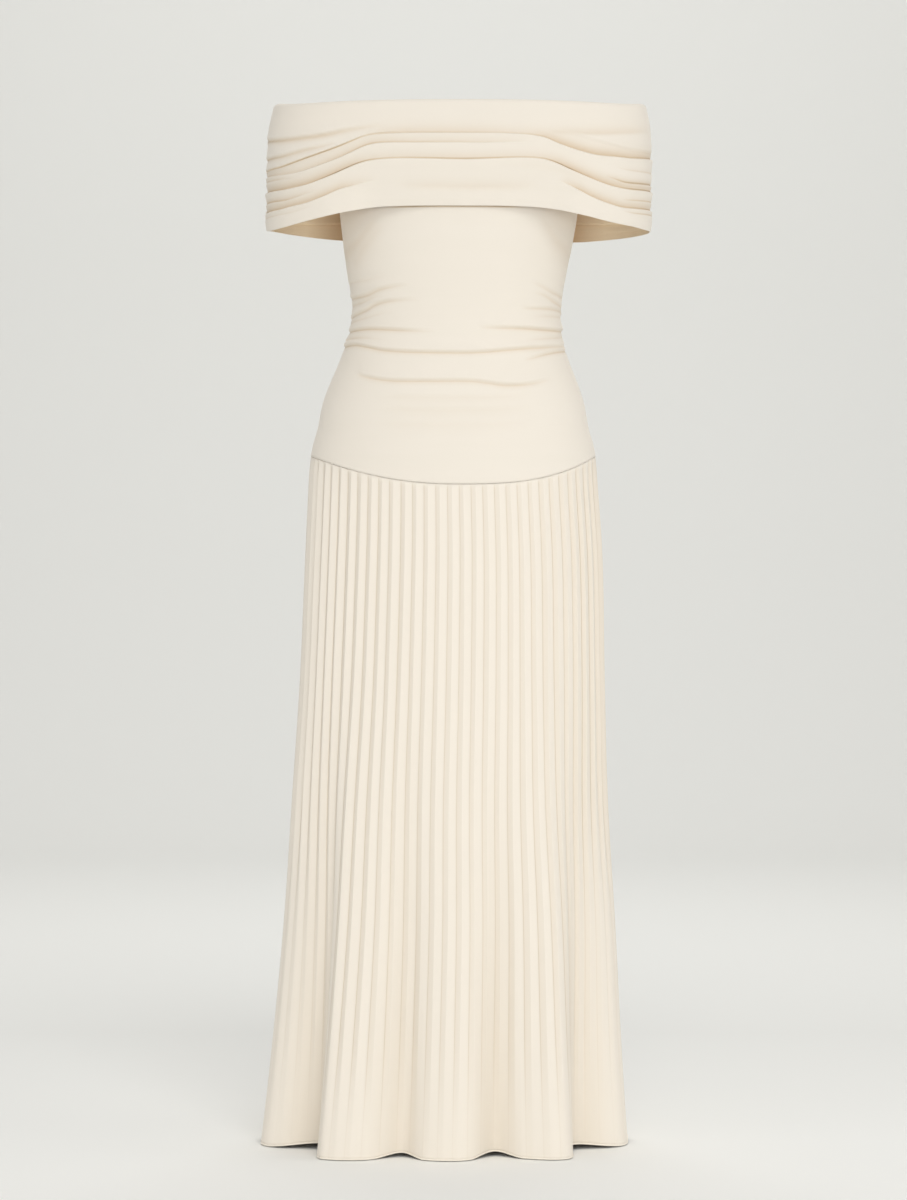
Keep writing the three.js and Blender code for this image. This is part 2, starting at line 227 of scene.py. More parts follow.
def cloth_lengths(points):
    """Lengths along each row and down each column of a net of points, as a UV map."""
    across = np.linalg.norm(np.diff(points, axis=1, prepend=points[:, :1]), axis=2).cumsum(axis=1)
    down = np.linalg.norm(np.diff(points, axis=0, prepend=points[:1]), axis=2).cumsum(axis=0)
    middle = points.shape[1] // 2
    return np.dstack((across - across[:, middle : middle + 1], -down))


print("cloth:", CLOTH_WALL, "mm, and the doubled band:", BAND_CLOTH_WALL, "mm")

# %% [markdown]
# ## What a soft fold looks like
# A fold in draped jersey isn't a groove with two equal sides. On one side the cloth sinks slowly into the
# fold, and on the other it turns up in a narrow lip that catches the light. Most lips of the band face up,
# as in a draped sash. A fold that sags has its lip above the line, facing down. All of the bodice's do.
# Each fold has a route by share and level, with its strength and the strength of its painted crease line
# along the way. Then come its depth, the height of its lip, the widths of its slope and of its roll, and
# how much soft shade is painted in it. The crease line is a thin dark line of painted shade where cloth
# touches cloth, fainter on the bodice.

# %% Fold relief
# Painted shade of a fold: a thin dark crease line of this width, its strength on the bodice and the band, and a
# soft shade over the sunken side.
CREASE_WIDTH = 0.75
CREASE_LINE_SHADE = {"bodice": 0.25, "band": 0.55}
SINK_POWER, LIP_POWER, SHADE_POWER = 1.4, 1.6, 1.2
SOFT_SHARE = 0.5


def fold_relief(folds, share, level, painted_line_strength):
    """Outward relief in millimetres and the shade painted in the fold from 0 to 1, for a table of folds."""
    relief, soft, dark = np.zeros_like(level), np.zeros_like(level), np.zeros_like(level)
    for fold in folds:
        at, z, strong, line_shade = (np.array(column, float) for column in zip(*fold["route"]))
        line = smooth_through(at, z, share)
        begins = ease(at[0] - fold["fade"], at[0] + 1e-4, share)
        inside = begins * (1 - ease(at[-1], at[-1] + fold["fade"], share))
        power = np.interp(share, at, strong) * inside
        painted_crease = np.interp(share, at, line_shade) * inside
        gap = (level - line) * (-1 if fold["sags"] else 1)
        sink = np.exp(-((np.maximum(gap, 0) / fold["slope"]) ** SINK_POWER))
        turn = np.exp(-((np.maximum(-gap, 0) / fold["edge"]) ** 2))
        lip = (1 - turn) * np.exp(-((np.maximum(-gap, 0) / fold["roll"]) ** LIP_POWER))
        relief += power * np.where(gap > 0, -fold["depth"] * sink, -fold["depth"] * turn + fold["lip"] * lip)
        shade = power * fold["soft"] * np.where(gap > 0, sink**SHADE_POWER, turn)
        soft = soft + shade - soft * shade
        dark = np.maximum(dark, painted_crease * np.exp(-((gap / CREASE_WIDTH) ** 2)))
    return relief, np.clip(SOFT_SHARE * soft + painted_line_strength * dark, 0, 1)


def fold(route, depth, lip, slope, roll, soft, edge=1.2, fade=0.03, sags=False):
    """One fold: its route is rows of share, level, strength and the strength of its painted crease line."""
    return {
        "route": route,
        "depth": depth,
        "lip": lip,
        "slope": slope,
        "roll": roll,
        "soft": soft,
        "edge": edge,
        "fade": fade,
        "sags": sags,
    }


# %% [markdown]
# ## The bodice
# The bodice is two fitted pieces, front and back, from the chest to a seam that dips at the front. Where
# the cloth is a little long for the waist it sags into a few long shallow creases. They start at the
# side seams, where the seam holds the extra length, and fade towards the middle. Most rows of the grid
# lie at the waist, because that is where the small forms are. The band rests against the bodice in front
# and behind. Shade is painted on the bodice along the band's lower edge, so the level of that edge is
# needed already here.

# %% Front bodice creases
def sag_crease(route, depth, lip, slope, roll, soft, edge=3.2):
    """A fold that sags, with a wide soft edge, as tight jersey has at the waist."""
    return fold(route, depth, lip, slope, roll, soft, edge, sags=True)


FRONT_BODICE_FOLDS = (
    # waist 1, left
    sag_crease(
        [(0, -252.1, 1, 0.9), (0.13, -251.8, 1, 0.8), (0.194, -252.1, 1, 0.75), (0.297, -254.9, 0.9, 0.6),
         (0.348, -256.1, 0.6, 0.35), (0.396, -256.9, 0.25, 0.1), (0.437, -257.3, 0, 0)],
        1.1, 3.5, 2.7, 8, 0.38,
    ),
    # waist 1, right
    sag_crease(
        [(0.575, -252, 0, 0), (0.596, -252.4, 0.25, 0.05), (0.662, -252.8, 0.7, 0.35),
         (0.739, -252.6, 0.95, 0.6), (0.83, -252.7, 1, 0.8), (1, -250.8, 1, 1)],
        1.1, 3.22, 2.7, 8, 0.38,
    ),
    # waist 2
    sag_crease(
        [(0, -270.7, 1, 0.9), (0.133, -270.7, 1, 0.7), (0.192, -274.1, 1, 0.6), (0.259, -279.2, 1, 0.5),
         (0.324, -281.7, 0.95, 0.55), (0.403, -283.2, 0.9, 0.65), (0.518, -283.9, 0.85, 0.65),
         (0.588, -283.1, 0.85, 0.65), (0.657, -280.5, 0.9, 0.65), (0.731, -277.6, 0.95, 0.55),
         (0.799, -275.3, 0.9, 0.5), (0.864, -272.8, 0.7, 0.35), (1, -268, 0.5, 0.5)],
        1.1, 3.36, 3, 9, 0.38,
    ),
    # waist 2, branch
    sag_crease(
        [(0.721, -291.9, 0, 0), (0.751, -289.3, 0.5, 0.2), (0.81, -283.6, 0.9, 0.6), (0.881, -279, 1, 0.9),
         (1, -274.5, 1, 1)],
        0.9, 2.24, 2.4, 6, 0.35,
    ),
    # hip 1
    sag_crease(
        [(0.187, -308.1, 0, 0), (0.195, -308.9, 0.5, 0.15), (0.236, -312.9, 0.85, 0.35),
         (0.288, -316.4, 0.95, 0.5), (0.34, -318.2, 0.95, 0.6), (0.436, -318.7, 0.9, 0.55),
         (0.554, -318.9, 0.85, 0.45), (0.601, -321, 0.9, 0.4), (0.645, -323.4, 1, 0.45),
         (0.697, -322.9, 0.95, 0.4), (0.748, -319.8, 0.6, 0.2), (0.813, -313.6, 0, 0)],
        0.9, 2.8, 3.3, 10, 0.35,
    ),
    # left, upper
    sag_crease(
        [(0, -210.4, 0.9, 0.6), (0.159, -210.5, 1, 0.5), (0.228, -204.5, 0.9, 0.35), (0.292, -201.3, 0.4, 0.1),
         (0.343, -199.5, 0, 0)],
        0.8, 2.66, 2.7, 7, 0.38,
    ),
    # left, middle
    sag_crease(
        [(0, -220, 0.7, 0.4), (0.132, -217.9, 0.7, 0.3), (0.199, -212.9, 0.4, 0.1), (0.243, -210.8, 0, 0)],
        0.6, 1.68, 2.4, 5, 0.32,
    ),
    # left, lower
    sag_crease(
        [(0, -236.3, 0.9, 0.6), (0.151, -228.8, 1, 0.5), (0.2, -222.7, 1, 0.4), (0.252, -219.5, 0.8, 0.25),
         (0.321, -218.3, 0.3, 0.05), (0.382, -218.6, 0, 0)],
        0.9, 2.8, 2.7, 7, 0.38,
    ),
    # left, under lower
    sag_crease(
        [(0, -242.3, 0.8, 0.5), (0.159, -237.1, 0.6, 0.15), (0.241, -232.7, 0.2, 0), (0.289, -232.2, 0, 0)],
        0.5, 1.54, 2.4, 6, 0.29,
    ),
    # left, between 1 and 2
    sag_crease(
        [(0, -261.7, 0.9, 0.6), (0.138, -261.6, 0.8, 0.35), (0.209, -263.5, 0.3, 0.05), (0.274, -265.8, 0, 0)],
        0.6, 1.68, 1.8, 4.5, 0.32,
    ),
    # left, highest
    sag_crease(
        [(0, -191.5, 0.5, 0.1), (0.173, -191.5, 0.5, 0.05), (0.253, -187.9, 0, 0)],
        0.4, 1.26, 3, 7, 0.23,
    ),
    # right, upper
    sag_crease(
        [(0.757, -196.2, 0, 0), (0.792, -198.5, 0.5, 0.1), (0.865, -205.6, 0.8, 0.4), (1, -210.4, 0.9, 0.6)],
        0.7, 1.68, 2.4, 5.5, 0.32,
    ),
    # right, middle
    sag_crease(
        [(0.771, -207.4, 0, 0), (0.827, -210.4, 0.6, 0.3), (0.885, -216.7, 0.9, 0.5), (1, -222.1, 0.9, 0.7)],
        0.8, 1.96, 2.4, 5.5, 0.35,
    ),
    # right, lower
    sag_crease(
        [(0.723, -226.9, 0, 0), (0.768, -227.3, 0.5, 0.3), (0.844, -226.1, 0.8, 0.45), (1, -226.5, 0.9, 0.7)],
        0.8, 1.96, 2.4, 6, 0.35,
    ),
    # right, lowest
    sag_crease(
        [(0.764, -236.9, 0, 0), (0.834, -235.5, 0.5, 0.1), (1, -232.8, 0.8, 0.5)],
        0.5, 1.4, 2.4, 5, 0.29,
    ),
    # right, between 1 and 2
    sag_crease(
        [(0.74, -266.9, 0, 0), (0.817, -263.6, 0.5, 0.2), (1, -256.9, 0.8, 0.5)],
        0.5, 1.54, 1.8, 4.5, 0.29,
    ),
    # hip 2
    sag_crease(
        [(0.27, -335.5, 0, 0), (0.347, -337.9, 0.8, 0), (0.49, -339.1, 0.9, 0), (0.633, -337.8, 0.8, 0),
         (0.74, -334.2, 0, 0)],
        0.3, 0.6, 9, 10, 0.1, edge=4,
    ),
    # hip 3
    sag_crease(
        [(0.275, -350.3, 0, 0), (0.364, -353.7, 0.8, 0), (0.491, -355, 0.9, 0), (0.646, -352.8, 0.7, 0),
         (0.736, -349, 0, 0)],
        0.3, 0.5, 9, 10, 0.09, edge=4,
    ),
    # hip 4
    sag_crease(
        [(0.28, -368.8, 0, 0), (0.353, -371.3, 0.8, 0), (0.491, -372.6, 0.8, 0), (0.629, -371.5, 0.7, 0),
         (0.731, -368.1, 0, 0)],
        0.25, 0.4, 9, 10, 0.08, edge=4,
    ),
    # left side, upright
    sag_crease(
        [(0, -157.2, 0.7, 0), (0.157, -144.1, 0.8, 0), (0.217, -127.8, 0.5, 0), (0.257, -115.6, 0, 0)],
        0.6, 0.5, 14, 12, 0.3, edge=5,
    ),
    # left side, upright, inner
    sag_crease(
        [(0.137, -167.8, 0.5, 0), (0.197, -149, 0.6, 0), (0.245, -134.6, 0.4, 0), (0.275, -125.6, 0, 0)],
        0.4, 0.4, 12, 10, 0.2, edge=5,
    ),
    # right side, upright
    sag_crease(
        [(0.743, -115.6, 0, 0), (0.79, -128.8, 0.5, 0), (0.84, -144.2, 0.8, 0), (1, -161, 0.7, 0)],
        0.6, 0.5, 14, 12, 0.25, edge=5,
    ),
)
print("bodice folds in front:", len(FRONT_BODICE_FOLDS))

# %% Back bodice creases
BACK_BODICE_FOLDS = (
    sag_crease(
        [(0, -248.5, 1, 1), (0.1, -250, 1, 0.8), (0.2, -253, 0.8, 0.5), (0.33, -256.5, 0.5, 0.25),
         (0.46, -259, 0, 0)],
        1.1, 3.5, 2.7, 8, 0.38,
    ),
    sag_crease(
        [(0.52, -257, 0, 0), (0.64, -255.5, 0.5, 0.2), (0.78, -253, 0.8, 0.5), (0.9, -251, 1, 0.8),
         (1, -250, 1, 1)],
        1.1, 3.5, 2.7, 8, 0.38,
    ),
    sag_crease(
        [(0, -267.5, 1, 1), (0.15, -270, 1, 0.6), (0.35, -277.5, 0.9, 0.45), (0.55, -279.5, 0.8, 0.45),
         (0.75, -274.5, 0.9, 0.5), (0.9, -268, 1, 0.7), (1, -264.5, 1, 0.9)],
        1.1, 3.36, 3, 9, 0.38,
    ),
    sag_crease(
        [(0.1, -289, 0, 0), (0.22, -296.5, 0.7, 0.2), (0.38, -300, 0.9, 0.35), (0.55, -301, 0.8, 0.3),
         (0.72, -297, 0.7, 0.2), (0.88, -288, 0, 0)],
        0.9, 2.8, 3.3, 10, 0.35,
    ),
    sag_crease(
        [(0.2, -227, 0, 0), (0.34, -235, 0.7, 0.2), (0.5, -238.5, 0.9, 0.3), (0.63, -236, 0.7, 0.2),
         (0.76, -229, 0, 0)],
        0.8, 2.66, 3, 8, 0.35,
    ),
    sag_crease(
        [(0, -232, 0.9, 0.5), (0.07, -228, 1, 0.4), (0.15, -224, 0.7, 0.2), (0.27, -218, 0, 0)],
        0.9, 2.66, 2.7, 7, 0.38,
    ),
    sag_crease(
        [(0.7, -213, 0, 0), (0.82, -219, 0.7, 0.2), (0.92, -225, 0.9, 0.4), (1, -230, 1, 0.5)],
        0.9, 2.66, 2.7, 7, 0.38,
    ),
    sag_crease(
        [(0, -216, 0.9, 0.4), (0.08, -213, 0.8, 0.25), (0.18, -208, 0, 0)],
        0.7, 1.96, 2.4, 6, 0.35,
    ),
    sag_crease(
        [(0.32, -207, 0, 0), (0.46, -212, 0.8, 0.15), (0.58, -212, 0.8, 0.15), (0.7, -207, 0, 0)],
        0.5, 1.2, 6, 8, 0.3, edge=2,
    ),
    sag_crease(
        [(0.2, -321, 0, 0), (0.36, -326, 0.8, 0.1), (0.56, -328, 0.8, 0.1), (0.78, -321, 0, 0)],
        0.4, 1.0, 8, 9, 0.25, edge=2,
    ),
    sag_crease(
        [(0.3, -344, 0, 0), (0.5, -348, 0.8, 0), (0.72, -344, 0, 0)],
        0.3, 0.5, 9, 10, 0.09, edge=4,
    ),
    sag_crease(
        [(0, -166, 0.7, 0), (0.04, -150, 0.8, 0), (0.09, -132, 0.5, 0), (0.13, -120, 0, 0)],
        0.6, 0.5, 14, 12, 0.25, edge=5,
    ),
    sag_crease(
        [(0.87, -120, 0, 0), (0.92, -134, 0.5, 0), (0.96, -152, 0.8, 0), (1, -168, 0.7, 0)],
        0.6, 0.5, 14, 12, 0.25, edge=5,
    ),
)
BODICE_FOLDS = {"front": FRONT_BODICE_FOLDS, "back": BACK_BODICE_FOLDS}
print("bodice folds behind:", len(BACK_BODICE_FOLDS))

# %% Bodice sheets
BAND_EDGES = {
    "front": (
        (0, -124), (0.04, -127), (0.08, -128), (0.12, -126.8), (0.154, -124.2), (0.221, -117.5),
        (0.252, -114), (0.311, -108), (0.35, -106), (0.5, -106), (0.65, -106.5), (0.706, -110),
        (0.747, -115), (0.819, -123), (0.88, -126.2), (0.93, -127.6), (1, -125.5),
    ),
    "back": (
        (0, -125.5), (0.06, -125), (0.12, -126), (0.25, -128.3), (0.5, -130), (0.7, -127.5),
        (0.8, -124.5), (0.86, -122.5), (0.92, -121), (0.96, -121.5), (1, -124),
    ),
}
SEAM_SIDE_Z = -406.0
SEAM_CENTRE_Z = {"front": -444.0, "back": -421.0}
SEAM_RIGHT_POWER = {"front": 3.0, "back": 2.0}
SEAM_GAP = 0.3
SIDE_GAP = 0.05
SIDE_SEAM_WIDTH = 2.2
SIDE_SEAM_DEPTH = 0.7
BODICE_COLUMNS = 110
BODICE_ROWS = ((0, 18), (0.225, 28), (0.29, 14), (0.43, 255), (0.81, 31))
# Painted shadow on the bodice under the band's lower edge: its strength, width and reach across.
CONTACT_SHADE, CONTACT_WIDTH = 0.8, 1.1
CONTACT_REACH = (50, 95)
SEAM_ROLL = 3.0
SEAM_RIDGE, SEAM_RIDGE_PLACE = 0.3, 0.9
SEAM_GROOVE, SEAM_GROOVE_WIDTH = 0.2, 0.3
WAIST_Z, KNEE_Z = -200, -900


def seam_level(side, share):
    """Level of the dropped seam at a share: highest at the sides and lowest at the middle."""
    level = np.full_like(share, SEAM_SIDE_Z)
    x = on_form(BODY[side], share, level)[0]
    ends = on_form(BODY[side], np.array([0.0, 1.0]), level[:2])[0]
    reach = (2 * x - ends[0] - ends[1]) / abs(ends[1] - ends[0])
    power = np.where(reach > 0, SEAM_RIGHT_POWER[side], 2.0)
    return SEAM_CENTRE_Z[side] + (SEAM_SIDE_Z - SEAM_CENTRE_Z[side]) * np.abs(reach) ** power


def side_seam_dip(share, half_length):
    """Cloth turns in a little where two pieces are sewn together at the side."""
    from_seam = np.minimum(share, 1 - share) * half_length
    return -SIDE_SEAM_DEPTH * np.exp(-((from_seam / SIDE_SEAM_WIDTH) ** 2))


def close_sides(points, side):
    """Puts the first and last column on the side seams."""
    points[:, [0, -1], 1] = -SIDE_GAP / 2 if side == "front" else SIDE_GAP / 2
    return points


def shade_under_band(side, x, level):
    """How much shade is painted on the bodice close to the band's lower edge, where the band rests against it.
    """
    shares = np.linspace(0, 1, 201)
    edge = smooth_through(*zip(*BAND_EDGES[side]), shares)
    edge_x = on_form(BAND[side], shares, edge)[0]
    order = np.argsort(edge_x)
    gap = level - np.interp(x, edge_x[order], edge[order])
    near = 1 - ease(*CONTACT_REACH, np.abs(x))
    return CONTACT_SHADE * near * np.exp(-((gap / CONTACT_WIDTH) ** 2))


def bodice_sheet(side):
    shares = np.linspace(0, 1, BODICE_COLUMNS + 1)
    starts, counts = zip(*BODICE_ROWS)
    ends = (*starts[1:], 1.0)
    bands = [np.linspace(a, b, n, endpoint=False) for a, b, n in zip(starts, ends, counts)]
    downs = np.concatenate(bands + [[1.0]])
    share, down = np.meshgrid(shares, downs)
    level = down * seam_level(side, shares)[None, :]
    x, y, out_x, out_y = on_form(BODY[side], share, level)
    # Painted shade of the folds, and painted shadow under the band's lower edge.
    relief, painted_shade = fold_relief(BODICE_FOLDS[side], share, level, CREASE_LINE_SHADE["bodice"])
    painted_shade = np.maximum(painted_shade, shade_under_band(side, x, level))
    relief += side_seam_dip(share, round_at(BODY, WAIST_Z) / 2)
    from_seam = (level - seam_level(side, shares)[None, :]) / SEAM_ROLL
    ridge = SEAM_RIDGE * np.exp(-((from_seam - SEAM_RIDGE_PLACE) ** 2))
    groove = SEAM_GROOVE * np.exp(-((from_seam / SEAM_GROOVE_WIDTH) ** 2))
    relief += ridge - groove
    points = close_sides(np.dstack((x + out_x * relief, y + out_y * relief, level)), side)
    uv = cloth_lengths(points)
    return cloth_sheet(f"bodice_{side}_cloth", points, uv, painted_shade, CLOTH_WALL), points


bodice = {side: bodice_sheet(side) for side in SIDES}

# %% [markdown]
# ## The skirt
# The skirt is pressed into narrow knife pleats that all turn the same way round. Seen in section each
# pleat is a short steep step and then a long gentle fall. The crease lines stay sharp from the seam to the
# knee and soften towards the hem, where the cloth opens into a few big flutes. The sharp edges need
# columns close to each ridge and each valley, so the columns of a pleat are listed one by one. Shade is
# painted on each pleat's step and valley line, and in the flutes' valleys. The pleats aren't equally deep
# from one side to the other, nor is their painted shade equally dark, and two more tables say so by share.

# %% Skirt tables
PLEATS = 33
PLEAT_STEP = 0.38
PLEAT_COLUMNS = (0.0, 0.015, 0.05, 0.19, 0.33, 0.365, 0.385, 0.42, 0.52, 0.68, 0.84, 0.965)
# Painted shade across one pleat, from valley to valley: darkest on the valley line, lighter on the step, none
# on the fall.
PLEAT_SHADE = (
    (0, 0.85), (0.015, 0.6), (0.05, 0.26), (0.19, 0.18), (0.33, 0.15), (0.37, 0.1), (0.385, 0),
    (0.84, 0), (0.965, 0.12), (1, 0.85),
)
# How strong the painted pleat shade is from one side of the skirt to the other.
PLEAT_SHADE_ACROSS = (
    (0, 0.95), (0.2, 0.9), (0.35, 0.8), (0.5, 0.7), (0.65, 0.75), (0.8, 0.95), (0.88, 1.1), (1, 1.0),
)
PLEAT_STRENGTH = (
    (0, 1.3), (0.15, 1.25), (0.3, 0.95), (0.5, 0.65), (0.65, 0.7), (0.8, 1.0), (0.88, 1.15), (1, 1.1),
)
HEM_Z = -1260.0
FLUTE_START = 0.28
FLUTE_POWER = 1.5
FLUTE_LIFT = 0.18
SIDE_LIFT = 7.0
# Painted shade in the valleys of the hem's flutes.
FLUTE_SHADE = 0.2
SIDE_LIFT_FROM = 0.93
PLEAT_DEPTHS = (
    (0, 0.8), (0.015, 1.8), (0.06, 2.6), (0.18, 2.9), (0.54, 3.0), (0.7, 2.9), (0.84, 2.6), (0.92, 1.9),
    (0.975, 1.2), (1, 0.8),
)
SKIRT_ROWS = np.concatenate((
    np.linspace(0, 0.03, 8, endpoint=False),
    np.linspace(0.03, 0.95, 74, endpoint=False),
    np.linspace(0.95, 1, 10),
))
HEM_FLUTES = {
    "front": (
        (0, 0), (0.07, 2), (0.165, -34), (0.208, -32), (0.24, 12), (0.264, 23), (0.335, 13),
        (0.405, -23), (0.46, 2), (0.54, 5), (0.61, -27), (0.665, 3), (0.745, 22), (0.812, -31),
        (0.93, 0), (1, 0),
    ),
    "back": (
        (0, 0), (0.08, 4), (0.17, -28), (0.25, 20), (0.34, 6), (0.43, -22), (0.52, 12), (0.63, -18),
        (0.74, 18), (0.83, -30), (0.92, 4), (1, 0),
    ),
}
print("pleats on each half:", PLEATS, "and rows:", len(SKIRT_ROWS))


def pleat_section(place, softness):
    """How far back the cloth stands, from 0 at a ridge to 1 at a valley, with the corners softened."""
    total = np.zeros_like(place)
    shifts = np.linspace(-0.5, 0.5, 9)
    for shift in shifts:
        at = (place + shift * softness) % 1.0
        total += np.where(at < PLEAT_STEP, 1 - at / PLEAT_STEP, (at - PLEAT_STEP) / (1 - PLEAT_STEP))
    return total / len(shifts)


# %% [markdown]
# ## No two pleats alike
# Pressed pleats drift a little. Each gets its own depth and a slow sideways bend, from a
# seeded random source, so the skirt is the same on every run. The pleats fade on the side flutes, where
# the jersey is stretched over the fold, and near the hem.

# %% Skirt sheets
drift = np.random.default_rng(14)
DEPTH_DRIFT = (0.85, 1.12)
BEND, BEND_WAVES, WHOLE_TURN = 0.035, (3, 7), 6.28
SIDE_FADE_ROWS, SIDE_FADE_REACH = (0.46, 0.72), (0.1, 0.24)
HEM_FADE_ROWS = (0.8, 0.97)
SHADE_LOST_AT_SIDE, SHADE_LOST_AT_HEM, DEPTH_LOST_AT_SIDE = 0.72, 0.8, 0.6
CORNER_SOFTNESS, EASED_SOFTNESS, SOFT_FROM_ROW = 0.02, 0.3, 0.8
SEAM_FADE_ROW = 0.006
# Painted shade in the flutes' valleys grows as they sink between these depths, in millimetres.
DEEP_FLUTE = (2, 30)


def skirt_sheet(side):
    pleat = np.repeat(np.arange(PLEATS), len(PLEAT_COLUMNS))
    place = np.tile(PLEAT_COLUMNS, PLEATS)
    shares = np.append((pleat + place) / PLEATS, 1.0)
    pleat, place = np.append(pleat, PLEATS - 1), np.append(place, 1.0)
    share, row = np.meshgrid(shares, SKIRT_ROWS)
    pleat_edges = np.arange(PLEATS + 1) / PLEATS
    seam = np.interp(shares, pleat_edges, seam_level(side, pleat_edges)) - SEAM_GAP
    flute = smooth_through(*zip(*HEM_FLUTES[side]), shares)
    from_middle = np.abs(2 * shares - 1)
    hem = HEM_Z + FLUTE_LIFT * np.maximum(0, -flute) + SIDE_LIFT * ease(SIDE_LIFT_FROM, 1, from_middle)
    level = seam + (hem - seam) * row
    flare = np.maximum(0, (row - FLUTE_START) / (1 - FLUTE_START)) ** FLUTE_POWER
    depth = smooth_through(*zip(*PLEAT_DEPTHS), row)
    depth = depth * drift.uniform(*DEPTH_DRIFT, PLEATS)[pleat]
    strength = np.interp(shares, *zip(*PLEAT_STRENGTH))
    at_side = 1 - ease(*SIDE_FADE_REACH, np.minimum(share, 1 - share))
    sides_fade = ease(*SIDE_FADE_ROWS, row) * at_side
    fade = (1 - SHADE_LOST_AT_SIDE * sides_fade) * (1 - SHADE_LOST_AT_HEM * ease(*HEM_FADE_ROWS, row))
    depth = depth * strength * (1 - DEPTH_LOST_AT_SIDE * sides_fade)
    softness = CORNER_SOFTNESS + EASED_SOFTNESS * ease(SOFT_FROM_ROW, 1, row) + EASED_SOFTNESS * sides_fade
    phase = drift.uniform(0, WHOLE_TURN, PLEATS)[pleat]
    wave = drift.uniform(*BEND_WAVES, PLEATS)[pleat]
    in_pleat = np.broadcast_to(place, share.shape)
    sunk = pleat_section(in_pleat, softness)
    bend = BEND * np.sin(phase + wave * row) * np.sin(np.pi * in_pleat) / PLEATS
    x, y, out_x, out_y = on_form(BODY[side], share + bend, level)
    relief = flute * flare - sunk * depth + side_seam_dip(share, round_at(BODY, KNEE_Z) / 2)
    points = close_sides(np.dstack((x + out_x * relief, y + out_y * relief, level)), side)
    # Painted shade on the pleats' steps and valley lines, fading at the sides, the hem and the seam, then in
    # the flutes' valleys.
    tone = np.interp(shares, *zip(*PLEAT_SHADE_ACROSS))
    painted_shade = np.interp(place, *zip(*PLEAT_SHADE)) * tone * fade * ease(0, SEAM_FADE_ROW, row)
    painted_shade = painted_shade + (1 - painted_shade) * FLUTE_SHADE * flare * ease(*DEEP_FLUTE, -flute)
    uv = cloth_lengths(points)
    return cloth_sheet(f"skirt_{side}_cloth", points, uv, painted_shade, CLOTH_WALL), points


skirt = {side: skirt_sheet(side) for side in SIDES}

# %% [markdown]
# ## The rolled hem
# The hem is a narrow roll of the same cloth, about two millimetres across, and it catches a thin line of
# light, brightened by a painted highlight: its cream is paler than the skirt's. It is a thin tube along the
# skirt's last row: again a grid, wrapped round that line.

# %% Rolled hem
HEM_RADIUS = 1.1
HEM_RISE = 0.6
HEM_SIDES = 8


def rolled_hem(side, edge):
    forward = np.gradient(edge, axis=0)
    forward /= np.linalg.norm(forward, axis=1, keepdims=True)
    outward = np.column_stack((forward[:, 1], -forward[:, 0], np.zeros(len(edge))))
    outward /= np.linalg.norm(outward, axis=1, keepdims=True)
    up = np.array([0.0, 0.0, 1.0])
    middle = edge - outward * CLOTH_WALL / 2 + up * HEM_RADIUS * HEM_RISE
    turns = np.linspace(0, 2 * np.pi, HEM_SIDES + 1)
    ring = [middle + HEM_RADIUS * (np.cos(t) * outward + np.sin(t) * up) for t in turns[::-1]]
    points = np.stack(ring)
    name = f"hem_roll_{side}"
    bm = bmesh.new()
    bmesh.ops.create_grid(bm, x_segments=len(edge) - 1, y_segments=HEM_SIDES, size=0.5)
    for v in bm.verts:
        column = round((v.co.x + 0.5) * (len(edge) - 1))
        v.co = points[round((0.5 - v.co.y) * HEM_SIDES), column] * MM
    bmesh.ops.remove_doubles(bm, verts=bm.verts, dist=1e-6)
    bmesh.ops.holes_fill(bm, edges=bm.edges, sides=HEM_SIDES)
    bmesh.ops.recalc_face_normals(bm, faces=bm.faces)
    for face in bm.faces:
        face.smooth = len(face.verts) == 4
    mesh = bpy.data.meshes.new(name)
    bm.to_mesh(mesh)
    bm.free()
    piece = bpy.data.objects.new(name, mesh)
    bpy.context.scene.collection.objects.link(piece)
    print(name, "has", len(mesh.polygons), "faces")
    return piece


hem_rolls = {side: rolled_hem(side, skirt[side][1][-1]) for side in SIDES}

# %% [markdown]
# ## The fold-over band
# The band is a doubled loop that goes round the chest and both upper arms. Its outer layer hangs from a
# soft rolled top, and a short inner layer comes down inside to the bodice, and hangs free at the arms.
# Two draped folds cross the front and sweep down to the side seams, where more small folds gather.
# Three guides run along the largest folds, and the rows of the sheet follow them. Low down the band leans
# in to the bodice, by the distance that another table gives for each place across.

